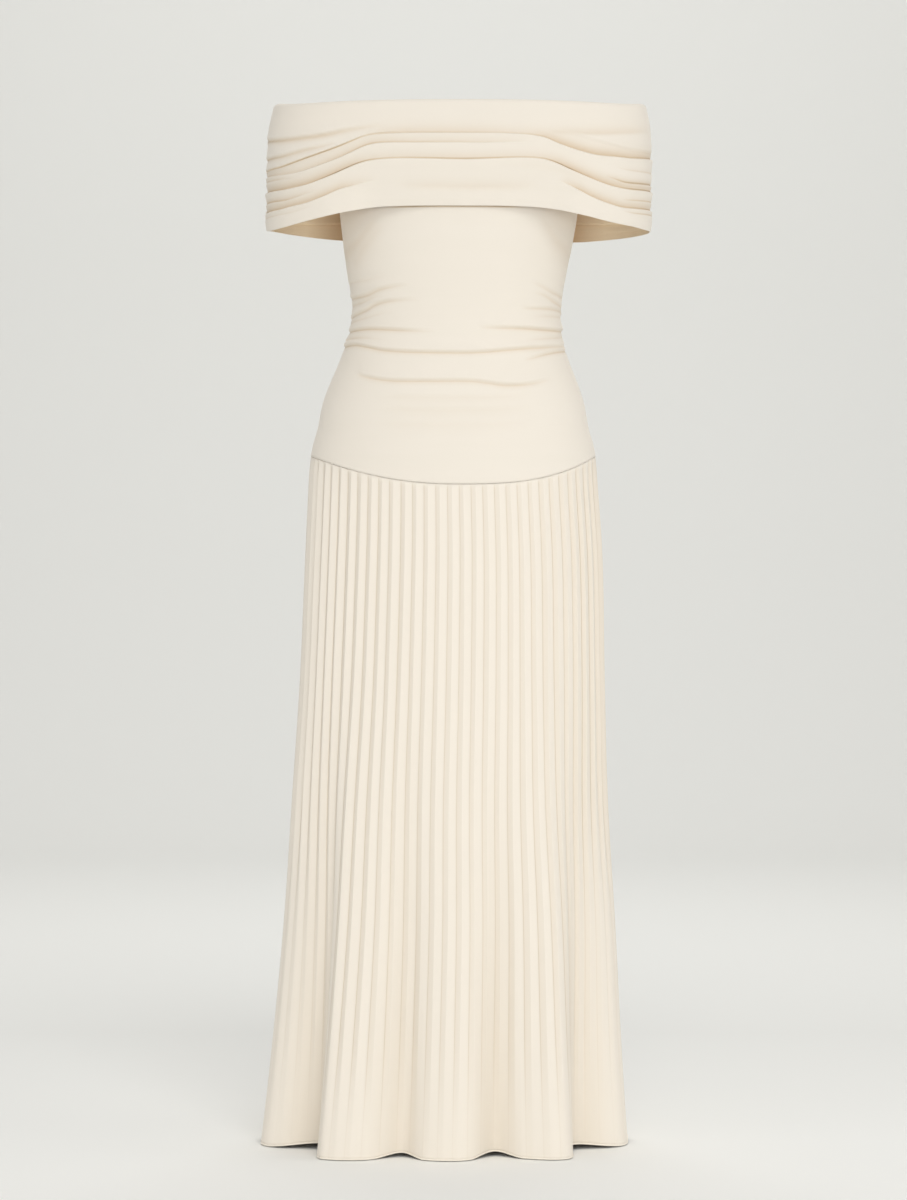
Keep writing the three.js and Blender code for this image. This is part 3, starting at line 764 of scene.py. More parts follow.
# %% Band tables
FOLD_RADIUS = 4.5
BAND_TOP_Z = {"centre": 23.6, "side": 33.0}
BAND_TOP_POWER = 8.0
BAND_FLAT_HALF = 75.0
BAND_HALF = 240.0
INNER_DROP = 18.0
INNER_CLEAR = 3.0
SEWN_HALF, FREE_HALF = 95.0, 148.0
BAND_COLUMNS = 170
BAND_ROWS = 230
BAND_HUG = ((0, 9), (40, 10), (80, 12), (110, 11), (138, 4), (160, 0))
HUG_REACH = 60
BAND_CROWDING = 0.35
BAND_FLOW = {
    "front": (
        (
            (0, -52.3), (0.136, -50.2), (0.182, -44.3), (0.223, -38), (0.255, -32.2), (0.282, -26.3),
            (0.305, -21.3), (0.328, -18.8), (0.387, -17.5), (0.521, -17.7), (0.62, -18.6), (0.674, -22.4),
            (0.698, -28.1), (0.726, -33.7), (0.758, -38.5), (0.786, -41.2), (0.833, -41.7), (1, -34.8),
        ),
        (
            (0, -78), (0.137, -79.3), (0.184, -75.9), (0.218, -70.4), (0.247, -64.6), (0.268, -59.7),
            (0.291, -54.5), (0.313, -51), (0.336, -49.3), (0.376, -48.3), (0.437, -48.9), (0.501, -49.8),
            (0.57, -48.8), (0.62, -47.6), (0.657, -47.9), (0.679, -49.8), (0.702, -54.3), (0.725, -60),
            (0.757, -67.1), (0.786, -73), (0.816, -77.5), (0.851, -80), (1, -76.1),
        ),
        (
            (0, -103.2), (0.14, -101.5), (0.183, -98.2), (0.225, -90.8), (0.257, -83.6), (0.285, -79.8),
            (0.332, -77.2), (0.425, -81), (0.522, -81.9), (0.62, -79.5), (0.696, -76.2), (0.721, -79.4),
            (0.744, -84.4), (0.777, -93.4), (0.817, -100.2), (0.852, -103.3), (1, -99.5),
        ),
    ),
    "back": (
        (
            (0, -38), (0.06, -41), (0.13, -43), (0.22, -41), (0.3, -34), (0.38, -29), (0.5, -28),
            (0.6, -30), (0.7, -37), (0.78, -43), (0.88, -48), (0.95, -49), (1, -48),
        ),
        (
            (0, -74), (0.07, -78.5), (0.15, -81), (0.23, -79), (0.31, -73), (0.4, -69.5), (0.5, -69),
            (0.6, -71), (0.7, -76), (0.78, -80), (0.88, -81.5), (0.95, -79), (1, -75),
        ),
        (
            (0, -99), (0.06, -103), (0.14, -105), (0.24, -103), (0.36, -99), (0.44, -98), (0.56, -98),
            (0.64, -99), (0.76, -103), (0.88, -105), (0.95, -102), (1, -98),
        ),
    ),
}
print("guides:", {side: len(lines) for side, lines in BAND_FLOW.items()})

# %% Front band folds
FRONT_BAND_FOLDS = (
    # fold 1, right and middle
    fold(
        [(0.319, -19.1, 0.15, 0), (0.348, -18.1, 0.4, 0.15), (0.387, -17.5, 0.5, 0.25),
         (0.46, -17.6, 0.5, 0.25), (0.521, -17.7, 0.48, 0.22), (0.582, -17.8, 0.4, 0.2),
         (0.62, -18.6, 0.35, 0.2), (0.649, -19.8, 0.45, 0.3), (0.674, -22.4, 0.65, 0.35),
         (0.698, -28.1, 0.9, 0.15), (0.726, -33.7, 1, 0.05), (0.758, -38.5, 1, 0), (0.786, -41.2, 1, 0.05),
         (0.833, -41.7, 0.95, 0.2), (0.874, -41.5, 0.9, 0.35), (1, -34.8, 0.9, 0.9)],
        2.2, 1.9, 8.5, 8, 0.85,
    ),
    # fold 2
    fold(
        [(0, -78, 0.9, 0.7), (0.106, -79.9, 0.95, 0.3), (0.137, -79.3, 1, 0.1), (0.184, -75.9, 1, 0.15),
         (0.218, -70.4, 1, 0.5), (0.247, -64.6, 1, 1), (0.268, -59.7, 0.9, 1.1), (0.291, -54.5, 0.7, 1.1),
         (0.313, -51, 0.45, 0.9), (0.336, -49.3, 0.4, 0.6), (0.376, -48.3, 0.4, 0.55),
         (0.437, -48.9, 0.45, 0.75), (0.485, -49.7, 0.5, 0.9), (0.521, -49.8, 0.5, 0.9),
         (0.57, -48.8, 0.45, 0.7), (0.62, -47.6, 0.4, 0.5), (0.657, -47.9, 0.4, 0.5), (0.679, -49.8, 0.5, 0.7),
         (0.702, -54.3, 0.8, 1.1), (0.725, -60, 1, 0.9), (0.757, -67.1, 1, 0.35), (0.786, -73, 1, 0.15),
         (0.816, -77.5, 1, 0.15), (0.851, -80, 0.9, 0.3), (0.887, -80, 0.8, 0.8), (1, -76.1, 0.8, 1)],
        2.2, 2.0, 8, 9, 0.8,
    ),
    # low fold, left
    fold(
        [(0, -103.2, 1, 0.6), (0.106, -103.6, 1, 0.2), (0.14, -101.5, 1, 0.05), (0.183, -98.2, 1, 0),
         (0.225, -90.8, 0.95, 0.1), (0.257, -83.6, 0.8, 0.05), (0.285, -79.8, 0.5, 0), (0.308, -76.5, 0.2, 0),
         (0.332, -74.8, 0, 0)],
        1.7, 1.5, 7, 8, 0.75,
    ),
    # low fold, right
    fold(
        [(0.704, -74.8, 0, 0), (0.721, -78.1, 0.4, 0.1), (0.744, -84.4, 0.8, 0.3), (0.777, -93.4, 1, 0.1),
         (0.817, -100.2, 1, 0.1), (0.852, -103.3, 0.95, 0.3), (1, -99.5, 0.9, 0.9)],
        1.9, 1.7, 7, 9, 0.75,
    ),
    # fold 1, left
    fold(
        [(0, -52.3, 0.75, 0.5), (0.105, -52.4, 0.8, 0.8), (0.136, -50.2, 0.85, 1.1), (0.182, -44.3, 0.9, 1.2),
         (0.223, -38, 0.9, 1.2), (0.255, -32.2, 0.85, 1.1), (0.282, -26.3, 0.75, 0.8), (0.305, -21.3, 0.6, 0.5),
         (0.328, -18.8, 0.45, 0.35), (0.356, -17.9, 0.3, 0.2), (0.387, -17.5, 0, 0)],
        1.0, 1.7, 6, 7, 0.18, edge=0.9, sags=True,
    ),
    # roll under fold 1
    fold(
        [(0, -58, 0.7, 0.4), (0.109, -61.2, 0.7, 0.1), (0.161, -60.3, 0.7, 0), (0.204, -54.8, 0.8, 0),
         (0.246, -47.4, 0.9, 0.1), (0.275, -40.7, 0.9, 0.3), (0.306, -32.9, 0.85, 0.5),
         (0.328, -29.8, 0.75, 0.5), (0.357, -28.9, 0.65, 0.4), (0.412, -29.3, 0.55, 0.4),
         (0.485, -29.3, 0.5, 0.3), (0.547, -29.6, 0.45, 0.15), (0.6, -28.6, 0.3, 0.05), (0.65, -28.2, 0, 0)],
        1.5, 1.8, 6.5, 8, 0.6,
    ),
    # upper fold, left
    fold(
        [(0, -12.9, 0.9, 0.7), (0.1, -19.5, 1, 0.2), (0.157, -20.4, 1, 0.05), (0.215, -18.8, 1, 0),
         (0.262, -14.7, 0.7, 0), (0.304, -11.2, 0.4, 0), (0.348, -7.9, 0, 0)],
        1.4, 2.2, 3.5, 9, 0.6, edge=3, sags=True,
    ),
    # short fold, left
    fold(
        [(0, -38.1, 0.9, 0.8), (0.103, -40, 0.9, 0.25), (0.135, -38.7, 0.9, 0.1), (0.186, -34.4, 0.8, 0),
         (0.216, -32.2, 0.5, 0.1), (0.251, -28.2, 0, 0)],
        1.2, 1.8, 3.5, 7, 0.55, edge=2.6, sags=True,
    ),
    # between folds, left
    fold(
        [(0, -91.9, 1, 0.6), (0.099, -93.5, 1, 0.35), (0.129, -93.4, 0.8, 0.25), (0.176, -88.4, 0.4, 0.05),
         (0.209, -83.6, 0, 0)],
        1.2, 1.1, 4.5, 6, 0.6,
    ),
    # side pucker, left
    fold(
        [(0, -65.1, 0.7, 0.5), (0.099, -67.4, 0.6, 0.2), (0.14, -67.3, 0.2, 0), (0.166, -66.2, 0, 0)],
        0.9, 0.9, 4, 5, 0.5,
    ),
    # lowest, left
    fold(
        [(0, -111.7, 0.5, 0.3), (0.14, -110.2, 0.5, 0.05), (0.202, -102.9, 0, 0)],
        0.6, 0.6, 4, 5, 0.35,
    ),
    # edge of fold 1, right
    fold(
        [(0.686, -17.8, 0, 0), (0.703, -18.7, 0.6, 0), (0.743, -21.5, 0.9, 0), (0.787, -26.9, 1, 0),
         (0.834, -31.6, 0.9, 0), (0.875, -33.8, 0.8, 0.05), (1, -29.5, 0.6, 0.3)],
        0.4, 1.5, 5, 7, 0.06, edge=3, sags=True,
    ),
    # upper shade, right
    fold(
        [(0.674, -15.6, 0, 0), (0.709, -15.4, 0.6, 0), (0.787, -15, 1, 0), (0.877, -9.5, 0.8, 0),
         (0.922, -5.6, 0.3, 0)],
        0.5, 0.4, 7, 7, 0.4, edge=3,
    ),
    # side pucker, right
    fold(
        [(0.802, -66.8, 0, 0), (0.833, -70.7, 0.7, 0.4), (0.854, -72.7, 0.9, 0.7), (0.89, -72.3, 1, 0.9),
         (1, -68, 1, 1)],
        1.2, 1.0, 3.5, 5, 0.55,
    ),
    # small line, right
    fold(
        [(0.844, -94.6, 0, 0), (0.875, -93.9, 0.6, 0.4), (1, -89.3, 0.8, 0.8)],
        0.8, 0.7, 3.5, 4, 0.4,
    ),
    # lowest, right
    fold(
        [(0.844, -108.5, 0, 0), (0.881, -109.7, 0.6, 0.4), (1, -106.3, 0.8, 0.8)],
        0.8, 0.7, 3.5, 4, 0.4,
    ),
    # small line under fold 1, right
    fold(
        [(0.825, -55.5, 0, 0), (0.87, -57.6, 0.5, 0.2), (1, -54.3, 0.7, 0.5)],
        0.8, 0.8, 4, 5, 0.35,
    ),
    # faint hollow, middle
    fold(
        [(0.371, -80.9, 0, 0), (0.425, -81.9, 0.8, 0), (0.522, -82.9, 1, 0), (0.582, -82.6, 0.9, 0),
         (0.62, -82.1, 0.6, 0), (0.663, -79.1, 0, 0)],
        0.6, 0.4, 7, 9, 0.2, edge=5,
    ),
    # faint hollow, right of middle
    fold(
        [(0.562, -55.6, 0, 0), (0.663, -58.5, 0.5, 0), (0.757, -71.8, 0.5, 0), (0.814, -84.1, 0, 0)],
        0.4, 0.3, 8, 8, 0.12, edge=4,
    ),
)
print("band folds in front:", len(FRONT_BAND_FOLDS))

# %% Back band folds
BACK_BAND_FOLDS = (
    fold(
        [(0, -38, 0.8, 0.9), (0.06, -41, 1, 0.5), (0.13, -43, 1, 0.35), (0.22, -41, 0.8, 0.8),
         (0.3, -34, 0.6, 1), (0.38, -29, 0.5, 0.5), (0.5, -28, 0.4, 0.35), (0.6, -30, 0.45, 0.4),
         (0.7, -37, 0.6, 0.9), (0.78, -43, 0.8, 0.8), (0.88, -48, 1, 0.35), (0.95, -49, 1, 0.5),
         (1, -48, 0.8, 0.8)],
        2.0, 1.9, 7, 8, 0.75,
    ),
    fold(
        [(0, -74, 0.9, 0.9), (0.07, -78.5, 1, 0.5), (0.15, -81, 1, 0.35), (0.23, -79, 0.9, 0.8),
         (0.31, -73, 0.7, 1), (0.4, -69.5, 0.5, 0.65), (0.5, -69, 0.45, 0.55), (0.6, -71, 0.5, 0.6),
         (0.7, -76, 0.7, 1), (0.78, -80, 0.9, 0.9), (0.88, -81.5, 1, 0.4), (0.95, -79, 1, 0.5),
         (1, -75, 0.9, 0.9)],
        2.2, 2.0, 8, 9, 0.8,
    ),
    fold(
        [(0, -99, 1, 0.6), (0.06, -103, 1, 0.3), (0.14, -105, 1, 0.2), (0.24, -103, 0.8, 0.1),
         (0.36, -99, 0.3, 0), (0.44, -98, 0, 0), (0.56, -98, 0, 0), (0.64, -99, 0.3, 0), (0.76, -103, 0.8, 0.1),
         (0.88, -105, 1, 0.25), (0.95, -102, 1, 0.35), (1, -98, 1, 0.6)],
        1.8, 1.6, 7, 8, 0.75,
    ),
    fold(
        [(0.12, -57, 0, 0), (0.2, -55, 0.7, 0.1), (0.3, -46, 0.9, 0.2), (0.4, -40, 0.8, 0.2),
         (0.5, -39, 0.6, 0.15), (0.6, -42, 0, 0)],
        1.5, 1.5, 7, 8, 0.65, sags=True,
    ),
    fold(
        [(0, -60, 0.9, 0.5), (0.08, -64, 0.9, 0.2), (0.18, -64, 0, 0)],
        1.3, 1.2, 5, 6, 0.6, sags=True,
    ),
    fold(
        [(0.8, -62, 0, 0), (0.9, -64, 0.8, 0.3), (1, -58, 0.9, 0.7)],
        1.3, 1.2, 5, 6, 0.6,
    ),
    fold(
        [(0, -20, 0.9, 0.4), (0.1, -22, 0.9, 0.15), (0.2, -20, 0.5, 0), (0.28, -16, 0, 0)],
        1.4, 1.5, 5, 8, 0.6, sags=True,
    ),
    fold(
        [(0.68, -13, 0, 0), (0.8, -18, 0.7, 0), (0.9, -20, 0.9, 0.15), (1, -17, 0.9, 0.4)],
        1.4, 1.5, 5, 8, 0.6, sags=True,
    ),
    fold(
        [(0, -89, 0.9, 0.5), (0.08, -92, 0.5, 0.2), (0.14, -92, 0, 0)],
        1.1, 1.0, 4, 5, 0.55,
    ),
    fold(
        [(0.9, -92.5, 0, 0), (0.95, -91, 0.6, 0.4), (1, -88, 0.9, 0.6)],
        1.1, 1.0, 4, 5, 0.55,
    ),
    fold(
        [(0, -113, 0.6, 0.3), (0.1, -116, 0.4, 0), (0.18, -115, 0, 0)],
        0.7, 0.7, 4, 5, 0.4,
    ),
)
BAND_FOLDS = {"front": FRONT_BAND_FOLDS, "back": BACK_BAND_FOLDS}
print("band folds behind:", len(BACK_BAND_FOLDS))

# %% [markdown]
# ## Building the band
# Every column of the grid is one upright path: up the inner layer, over the roll and down the outer
# layer. The rows of the outer layer flow with the drape, so the folds run nearly along them and stay
# crisp. The relief of the folds is added outwards, and it dies away towards the roll and the lower edge.

# %% Band sheets
REACH_LIMIT, REACH_STEP = 40.0, 0.25
INNER_STEPS, ROLL_STEPS = 9, 13
ROLL_FOOT_Z, ROLL_FOOT_DROP, ROLL_FOOT_POWER = 10, 4, 1.2
STITCH_ROOM = 1.2
ROLL_RELIEF = 0.3
EDGE_RELIEF, EDGE_RELIEF_REACH = 0.25, 7
EDGE_CROWN, EDGE_CROWN_RISE, EDGE_CROWN_FALL = 0.9, 9, 26
EDGE_TURN, EDGE_TURN_WIDTH = 0.5, 1.2


def reach_to_bodice(side, share):
    """How far inwards from the band's outline the bodice's top edge lies at each share."""
    square, half, centre = BODY_FORM[0][5], BODY_FORM[0][2], BODY_FORM[0][1]
    depth = BODY_FORM[0][FORM_COLUMNS.index(side)]
    x, y, out_x, out_y = on_form(BAND[side], share, np.zeros_like(share))
    steps = np.arange(0, REACH_LIMIT, REACH_STEP)[:, None]
    across = np.abs((x - out_x * steps - centre) / half) ** square
    along = np.abs((y - out_y * steps) / depth) ** square
    inside = across + along <= 1
    return np.where(inside.any(axis=0), inside.argmax(axis=0) * REACH_STEP, REACH_LIMIT)


def crowded(even):
    """Evenly spaced places, drawn together a little round each whole number."""
    return even - BAND_CROWDING * np.sin(2 * np.pi * even) / (2 * np.pi)


def band_sheet(side):
    shares = crowded(np.linspace(0, 1, BAND_COLUMNS + 1))
    across = np.abs(on_form(BAND[side], shares, np.zeros_like(shares))[0] - BAND_FORM[1][1])
    sweep = np.clip((across - BAND_FLAT_HALF) / (BAND_HALF - BAND_FLAT_HALF), 0, 1)
    top = BAND_TOP_Z["centre"] + (BAND_TOP_Z["side"] - BAND_TOP_Z["centre"]) * sweep**BAND_TOP_POWER
    roll_z = top - FOLD_RADIUS
    free = ease(SEWN_HALF, FREE_HALF, across)
    sewn_reach = reach_to_bodice(side, shares) + STITCH_ROOM
    end_reach = (1 - free) * sewn_reach + free * (2 * FOLD_RADIUS + INNER_CLEAR)
    end_z = (1 - free) * SEAM_GAP + free * (roll_z - INNER_DROP)
    paths = []
    for up in np.linspace(0, 1, INNER_STEPS)[:-1]:
        reach = end_reach + (2 * FOLD_RADIUS - end_reach) * (1 - (1 - up) ** 2)
        paths.append((reach, end_z + (roll_z - end_z) * up, 0 * top))
    for angle in np.linspace(0, np.pi, ROLL_STEPS):
        reach = FOLD_RADIUS * (1 + np.cos(angle)) + 0 * top
        paths.append((reach, roll_z + FOLD_RADIUS * np.sin(angle), 0 * top))
    first = ROLL_FOOT_Z - ROLL_FOOT_DROP * sweep**ROLL_FOOT_POWER
    for down in np.linspace(0, 1, INNER_STEPS)[1:-1]:
        paths.append((0 * top, roll_z + (first - roll_z) * down, ROLL_RELIEF * down + 0 * top))
    main_folds = [smooth_through(*zip(*line), shares) for line in BAND_FLOW[side]]
    guides = np.stack([first, *main_folds, smooth_through(*zip(*BAND_EDGES[side]), shares)])
    for down in np.linspace(0, len(guides) - 1, BAND_ROWS):
        between = crowded(down)
        i = min(int(between), len(guides) - 2)
        z = guides[i] + (guides[i + 1] - guides[i]) * (between - i)
        paths.append((0 * top, z, 1 + 0 * top))
    reach, level, outer = (np.stack(column) for column in zip(*paths))
    share = np.broadcast_to(shares, level.shape)
    # Relief of the band's folds and the shade painted in them; the shade goes on the outer layer only.
    relief, painted_shade = fold_relief(BAND_FOLDS[side], share, level, CREASE_LINE_SHADE["band"])
    low_edge = level - level[-1][None, :]
    relief = outer * relief * (EDGE_RELIEF + (1 - EDGE_RELIEF) * ease(0, EDGE_RELIEF_REACH, low_edge))
    fall = 1 - ease(EDGE_CROWN_RISE, EDGE_CROWN_FALL, low_edge)
    relief += outer * EDGE_CROWN * ease(0, EDGE_CROWN_RISE, low_edge) * fall
    relief -= outer * EDGE_TURN * np.exp(-((low_edge / EDGE_TURN_WIDTH) ** 2))
    relief -= outer * smooth_through(*zip(*BAND_HUG), across)[None, :] * (1 - ease(0, HUG_REACH, low_edge))
    relief += side_seam_dip(share, round_at(BAND, 0) / 2)
    x, y, out_x, out_y = on_form(BAND[side], share, np.minimum(level, top[None, :]))
    move = relief - reach
    points = close_sides(np.dstack((x + out_x * move, y + out_y * move, level)), side)
    uv = cloth_lengths(points)
    return cloth_sheet(f"band_{side}_cloth", points, uv, painted_shade * outer, BAND_CLOTH_WALL), points


band = {side: band_sheet(side) for side in SIDES}

# %% [markdown]
# ## Jersey
# The cloth is a matt, fine-knit jersey. Close to, it shows rows of small loops, and from a step away it
# is a soft even cream with a little sheen at grazing angles. The knit is bump from two wave textures on
# the sheet's own UV map, in metres, so it follows the cloth. The shade in folds is painted into the colour:
# a ramp holds three creams, for open cloth, a darker, warmer painted shade in a fold and a still darker
# painted shade in a crease, and the point attribute of painted shade picks between them. The warmth stands
# in for light bounced from cream to cream deep in a fold. The skirt, the hem and the inside have ramps of
# their own. On the inside of the band the shade is painted by the distance from the middle, in Object
# coordinates, darkest beside the bodice and paler out at the arms.

# %% Materials
def links(tree, *pairs):
    for start, end in pairs:
        tree.links.new(start, end)


KNIT_HEIGHT = 0.00012


def jersey(name, colours, grain, mottle_share=0.98, wale=0.0011, sheen=0.25, painted_hollow_shade=None):
    """A fine knit: its colour flat, with painted shade in a fold and in a crease, its grain, and a little
    sheen.
    """
    material = bpy.data.materials.new(name)
    material.use_nodes = True
    tree = material.node_tree
    node = tree.nodes.new
    shader = tree.nodes["Principled BSDF"]
    shader.inputs["Roughness"].default_value = 0.86
    shader.inputs["Specular IOR Level"].default_value = 0.25
    shader.inputs["Sheen Weight"].default_value = sheen
    shader.inputs["Sheen Roughness"].default_value = 0.45
    shader.inputs["Sheen Tint"].default_value = (1.0, 0.97, 0.92, 1.0)
    cloth = node("ShaderNodeUVMap")
    cloth.uv_map = "cloth"
    place = node("ShaderNodeTexCoord")
    # Painted shade: read from the point attribute, or on the band's inside from the distance from the middle.
    if painted_hollow_shade is None:
        depth = node("ShaderNodeAttribute")
        depth.attribute_name = "painted_fold_shade"
        painted_shade_value = depth.outputs["Fac"]
    else:
        across = node("ShaderNodeSeparateXYZ")
        either_side = node("ShaderNodeMath")
        either_side.operation = "ABSOLUTE"
        painted_hollow_amount = node("ShaderNodeMapRange")
        for socket, value in zip(("From Min", "From Max", "To Min", "To Max"), painted_hollow_shade):
            painted_hollow_amount.inputs[socket].default_value = value
        links(
            tree,
            (place.outputs["Object"], across.inputs["Vector"]),
            (across.outputs["X"], either_side.inputs[0]),
            (either_side.outputs[0], painted_hollow_amount.inputs["Value"]),
        )
        painted_shade_value = painted_hollow_amount.outputs["Result"]
    stretch = node("ShaderNodeMapping")
    stretch.inputs["Scale"].default_value = grain
    mottle = node("ShaderNodeTexNoise")
    mottle.inputs["Scale"].default_value = 1.0
    mottle.inputs["Detail"].default_value = 3.0
    painted_shade_ramp = node("ShaderNodeValToRGB")
    ramp = painted_shade_ramp.color_ramp
    ramp.elements.new(0.5)
    for element, place_on_ramp, tone in zip(ramp.elements, (0.0, 0.5, 1.0), colours):
        element.position = place_on_ramp
        element.color = (*tone, 1)
    shaded = node("ShaderNodeMix")
    shaded.data_type = "RGBA"
    shaded.blend_type = "MULTIPLY"
    shaded.inputs["B"].default_value = (mottle_share, mottle_share, mottle_share * 0.99, 1)
    links(
        tree,
        (place.outputs["Object"], stretch.inputs["Vector"]),
        (stretch.outputs["Vector"], mottle.inputs["Vector"]),
        (painted_shade_value, painted_shade_ramp.inputs["Fac"]),
        (painted_shade_ramp.outputs["Color"], shaded.inputs["A"]),
        (mottle.outputs["Fac"], shaded.inputs["Factor"]),
        (shaded.outputs["Result"], shader.inputs["Base Color"]),
    )
    knit = []
    for direction, size in (("X", wale), ("Y", wale * 0.75)):
        wave = node("ShaderNodeTexWave")
        wave.wave_type = "BANDS"
        wave.bands_direction = direction
        wave.wave_profile = "SIN"
        wave.inputs["Scale"].default_value = 0.314 / size
        wave.inputs["Distortion"].default_value = 0.6
        wave.inputs["Detail"].default_value = 1.0
        links(tree, (cloth.outputs["UV"], wave.inputs["Vector"]))
        knit.append(wave.outputs["Fac"])
    loops = node("ShaderNodeMath")
    loops.operation = "MULTIPLY"
    bump = node("ShaderNodeBump")
    bump.inputs["Strength"].default_value = 0.35
    bump.inputs["Distance"].default_value = KNIT_HEIGHT
    links(
        tree,
        (knit[0], loops.inputs[0]),
        (knit[1], loops.inputs[1]),
        (loops.outputs[0], bump.inputs["Height"]),
        (bump.outputs["Normal"], shader.inputs["Normal"]),
    )
    return material


# Each cream holds the cloth's open colour, then the painted shade of a fold, then the darker painted shade of a
# crease.
CREAM = ((0.875, 0.815, 0.73), (0.70, 0.56, 0.40), (0.34, 0.25, 0.16))
PLEATED_CREAM = ((0.90, 0.835, 0.745), (0.765, 0.675, 0.555), (0.50, 0.41, 0.30))
INSIDE_CREAM = ((0.90, 0.81, 0.68), (0.80, 0.68, 0.52), (0.60, 0.46, 0.32))
# The band's inside: warm creams of painted shade and bounced light, picked by the distance from the middle, 0.6
# beside the bodice and 0 out at the arms.
HOLLOW_SHADE_CREAM = ((0.99, 0.83, 0.62), (0.66, 0.47, 0.30), (0.30, 0.19, 0.10))
HOLLOW_SHADE_REACH = (0.143, 0.19, 0.6, 0.0)
# The hem's cream is paler than the skirt's, a painted highlight along the roll.
HEM_CREAM = ((0.93, 0.87, 0.77), (0.85, 0.77, 0.65), (0.70, 0.60, 0.48))
ALONG, DOWN, ROUND = (6, 6, 70), (110, 110, 5), (5, 5, 160)
band_jersey = jersey("band_jersey", CREAM, ALONG)
bodice_jersey = jersey("bodice_jersey", CREAM, ALONG)
pleated_jersey = jersey("pleated_jersey", PLEATED_CREAM, DOWN, wale=0.0009)
inside_jersey = jersey("inside_jersey", INSIDE_CREAM, ROUND, mottle_share=0.9, sheen=0.1)
band_inside_shade_jersey = jersey(
    "band_inside_shade_jersey", HOLLOW_SHADE_CREAM, ROUND, mottle_share=0.86, sheen=0.1, painted_hollow_shade=HOLLOW_SHADE_REACH
)
hem_jersey = jersey("hem_jersey", HEM_CREAM, ALONG, sheen=0.3)
print("materials:", [m.name for m in bpy.data.materials if "jersey" in m.name])

# %% [markdown]
# ## Putting each piece on the dress
# Each sheet takes its jersey and the cloth for its inside, rides on the dress's one body, and its
# imported solid is hidden.


def place_cloth(kind, side, piece, points, jersey_face, held, rests_on, with_pieces=()):
    piece.data.materials.append(jersey_face)
    piece.data.materials.append(band_inside_shade_jersey if kind == "band" else inside_jersey)
    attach(piece, "root")
    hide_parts(f"{kind}_{side}")


for side in SIDES:
    place_cloth("bodice", side, *bodice[side], bodice_jersey, "stretched", [])
    hem_roll = hem_rolls[side]
    hem_roll.data.materials.append(hem_jersey)
    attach(hem_roll, "root")
    place_cloth("skirt", side, *skirt[side], pleated_jersey, "hung", [bodice[side][0]], [hem_roll])
    place_cloth("band", side, *band[side], band_jersey, "draped", [bodice[side][0]])

# %% [markdown]
# ## The studio
# The dress hangs just over a pale floor that curves up into a pale wall. The wall stands far enough back
# for a camera behind the dress, and the paint is paler in front, where the floor meets the hem. Light is
# soft and comes from six wide lamps: one high in front, a key low in front that lights the skirt, a fill
# on either side, one behind the dress for the floor, and one for the wall. No camera sees the lamps
# themselves. The key's spread is narrowed, so that it doesn't burn out the floor under it.

# %% Floor and wall
FLOOR_Z = -1.2612
WALL_Y = 6.2
CURVE = 1.8
FLOOR_FRONT_Y, WALL_HEIGHT, SWEEP_HALF = -7, 4, 8
FLOOR_END, CURVE_END = 0.3, 0.8
PALE_PAINT, WALL_PAINT = (0.92, 0.92, 0.897, 1), (0.8, 0.8, 0.777, 1)


def studio_sweep():
    """A floor that turns up into a wall, from a flat grid whose rows are moved to their places."""
    bm = bmesh.new()
    bmesh.ops.create_grid(bm, x_segments=1, y_segments=48, size=1.0)
    lines = sorted({round(v.co.y, 5) for v in bm.verts})
    for v in bm.verts:
        t = lines.index(round(v.co.y, 5)) / (len(lines) - 1)
        if t < FLOOR_END:
            y, z = FLOOR_FRONT_Y + (WALL_Y - CURVE - FLOOR_FRONT_Y) * t / FLOOR_END, 0.0
        elif t < CURVE_END:
            angle = (t - FLOOR_END) / (CURVE_END - FLOOR_END) * np.pi / 2
            y, z = WALL_Y - CURVE + CURVE * np.sin(angle), CURVE * (1 - np.cos(angle))
        else:
            y, z = WALL_Y, CURVE + (t - CURVE_END) / (1 - CURVE_END) * WALL_HEIGHT
        v.co = (v.co.x * SWEEP_HALF, y, FLOOR_Z + z)
    mesh = bpy.data.meshes.new("studio_sweep")
    bm.to_mesh(mesh)
    bm.free()
    for polygon in mesh.polygons:
        polygon.use_smooth = True
    sweep = bpy.data.objects.new("studio_sweep", mesh)
    bpy.context.scene.collection.objects.link(sweep)
    paint = bpy.data.materials.new("studio_paint")
    paint.use_nodes = True
    shader = paint.node_tree.nodes["Principled BSDF"]
    place = paint.node_tree.nodes.new("ShaderNodeTexCoord")
    parts = paint.node_tree.nodes.new("ShaderNodeSeparateXYZ")
    paler = paint.node_tree.nodes.new("ShaderNodeValToRGB")
    links(
        paint.node_tree,
        (place.outputs["Object"], parts.inputs["Vector"]),
        (parts.outputs["Y"], paler.inputs["Fac"]),
        (paler.outputs["Color"], shader.inputs["Base Color"]),
    )
    for element, tone in zip(paler.color_ramp.elements, (PALE_PAINT, WALL_PAINT)):
        element.color = tone
    shader.inputs["Roughness"].default_value = 0.95
    mesh.materials.append(paint)
    return sweep


studio_sweep()
print("floor at", FLOOR_Z, "m and wall at", WALL_Y, "m")

# %% Lights
KEY_SPREAD = np.radians(110)
WORLD_STRENGTH = 0.52
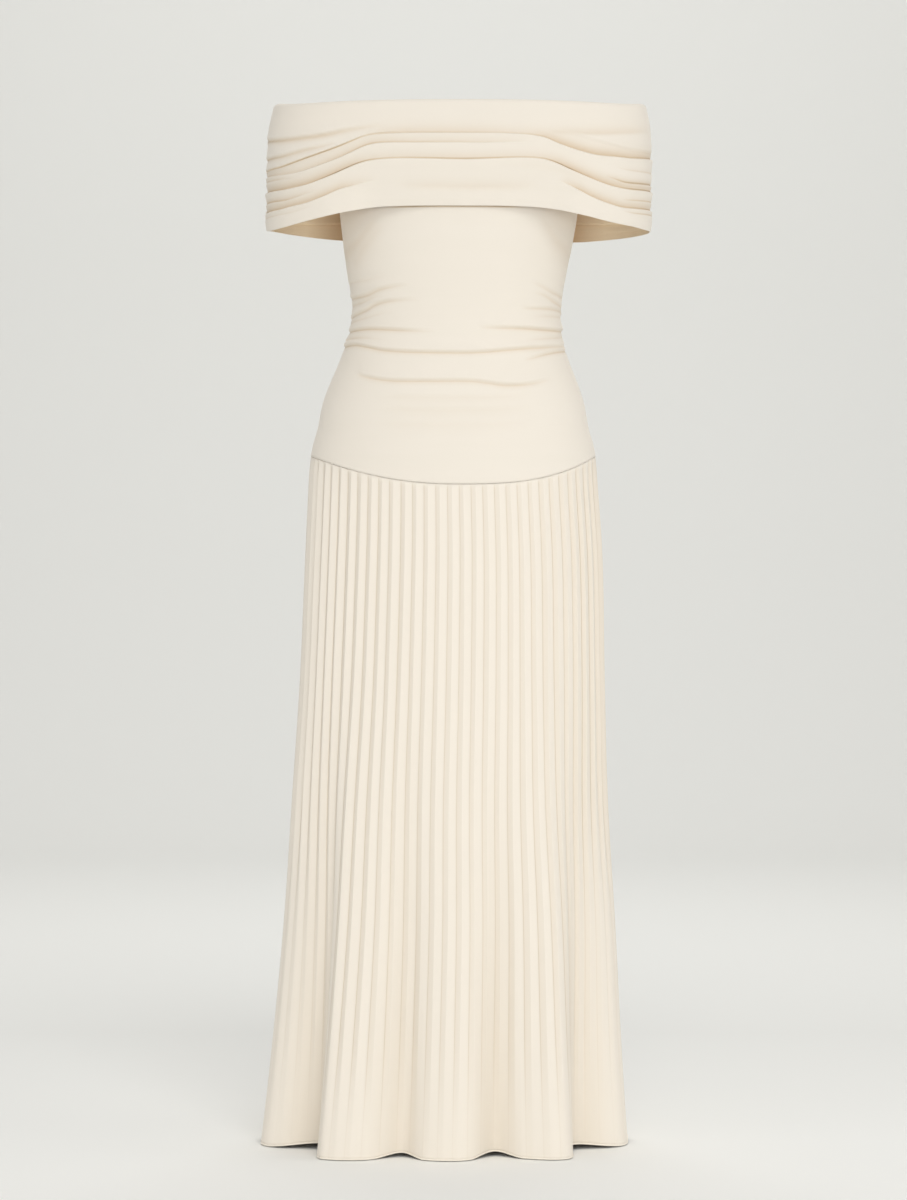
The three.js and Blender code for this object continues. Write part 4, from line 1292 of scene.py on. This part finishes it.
# Each lamp's name, place, aim, size, power in watts and colour.
LAMPS = (
    ("key", (0.3, -4.0, 0.0), (0, 0, -1.0), (3.0, 1.2), 15.5, (1.0, 0.99, 0.97)),
    ("high", (1.1, -6.5, 5.6), (0, 0, -0.6), (4.0, 4.0), 168, (1.0, 0.995, 0.98)),
    ("right", (3.4, -0.6, 0.3), (0, 0, -0.5), (1.6, 2.4), 11, (1.0, 0.99, 0.98)),
    ("left", (-3.2, -2.4, -0.1), (0, 0, -0.7), (1.6, 2.0), 3, (1.0, 0.99, 0.98)),
    ("back", (0, 1.9, 1.6), (0, 0.4, -1.3), (2.4, 1.2), 18, (1.0, 0.995, 0.98)),
    ("wall", (0, 2.6, 2.6), (0, 6.2, -0.5), (4.0, 1.5), 55, (1.0, 0.995, 0.98)),
)


def aimed_lamp(name, place, target, size, power, colour):
    data = bpy.data.lights.new(name, "AREA")
    data.shape = "RECTANGLE"
    data.size, data.size_y = size
    data.energy = power
    if name == "key":
        data.spread = KEY_SPREAD
    data.color = colour
    lamp = bpy.data.objects.new(name, data)
    way = Vector(target) - Vector(place)
    lamp.location = place
    lamp.visible_camera = False
    lamp.rotation_euler = way.to_track_quat("-Z", "Y").to_euler()
    bpy.context.scene.collection.objects.link(lamp)


for lamp in LAMPS:
    aimed_lamp(*lamp)
world = bpy.data.worlds.new("studio_air")
world.use_nodes = True
world.node_tree.nodes["Background"].inputs["Color"].default_value = (1.0, 0.995, 0.98, 1)
world.node_tree.nodes["Background"].inputs["Strength"].default_value = WORLD_STRENGTH
bpy.context.scene.world = world
bpy.context.scene.view_settings.view_transform = "Standard"
print("lamps:", [lamp[0] for lamp in LAMPS])

# %% [markdown]
# ## The camera
# The photo was taken from about four metres, level, with the lens at the height of the dress's middle.
# The picture is 907 by 1200 pixels, and 1200 of them span 1.5 m at the dress. A camera four metres away
# with a sensor 24 mm high needs a 64 mm lens for that.

# %% Camera
CAMERA_AWAY = 4.0
CAMERA_X, CAMERA_Z = -0.003, -0.585
VIEW_HEIGHT = 1.5
SENSOR = 24.0
camera_data = bpy.data.cameras.new("camera")
camera_data.sensor_fit = "VERTICAL"
camera_data.sensor_height = SENSOR
camera_data.lens = SENSOR * CAMERA_AWAY / VIEW_HEIGHT
camera = bpy.data.objects.new("camera", camera_data)
camera.location = (CAMERA_X, -CAMERA_AWAY, CAMERA_Z)
camera.rotation_euler = (np.pi / 2, 0, 0)
bpy.context.scene.collection.objects.link(camera)
bpy.context.scene.camera = camera
print("lens", camera_data.lens, "mm")
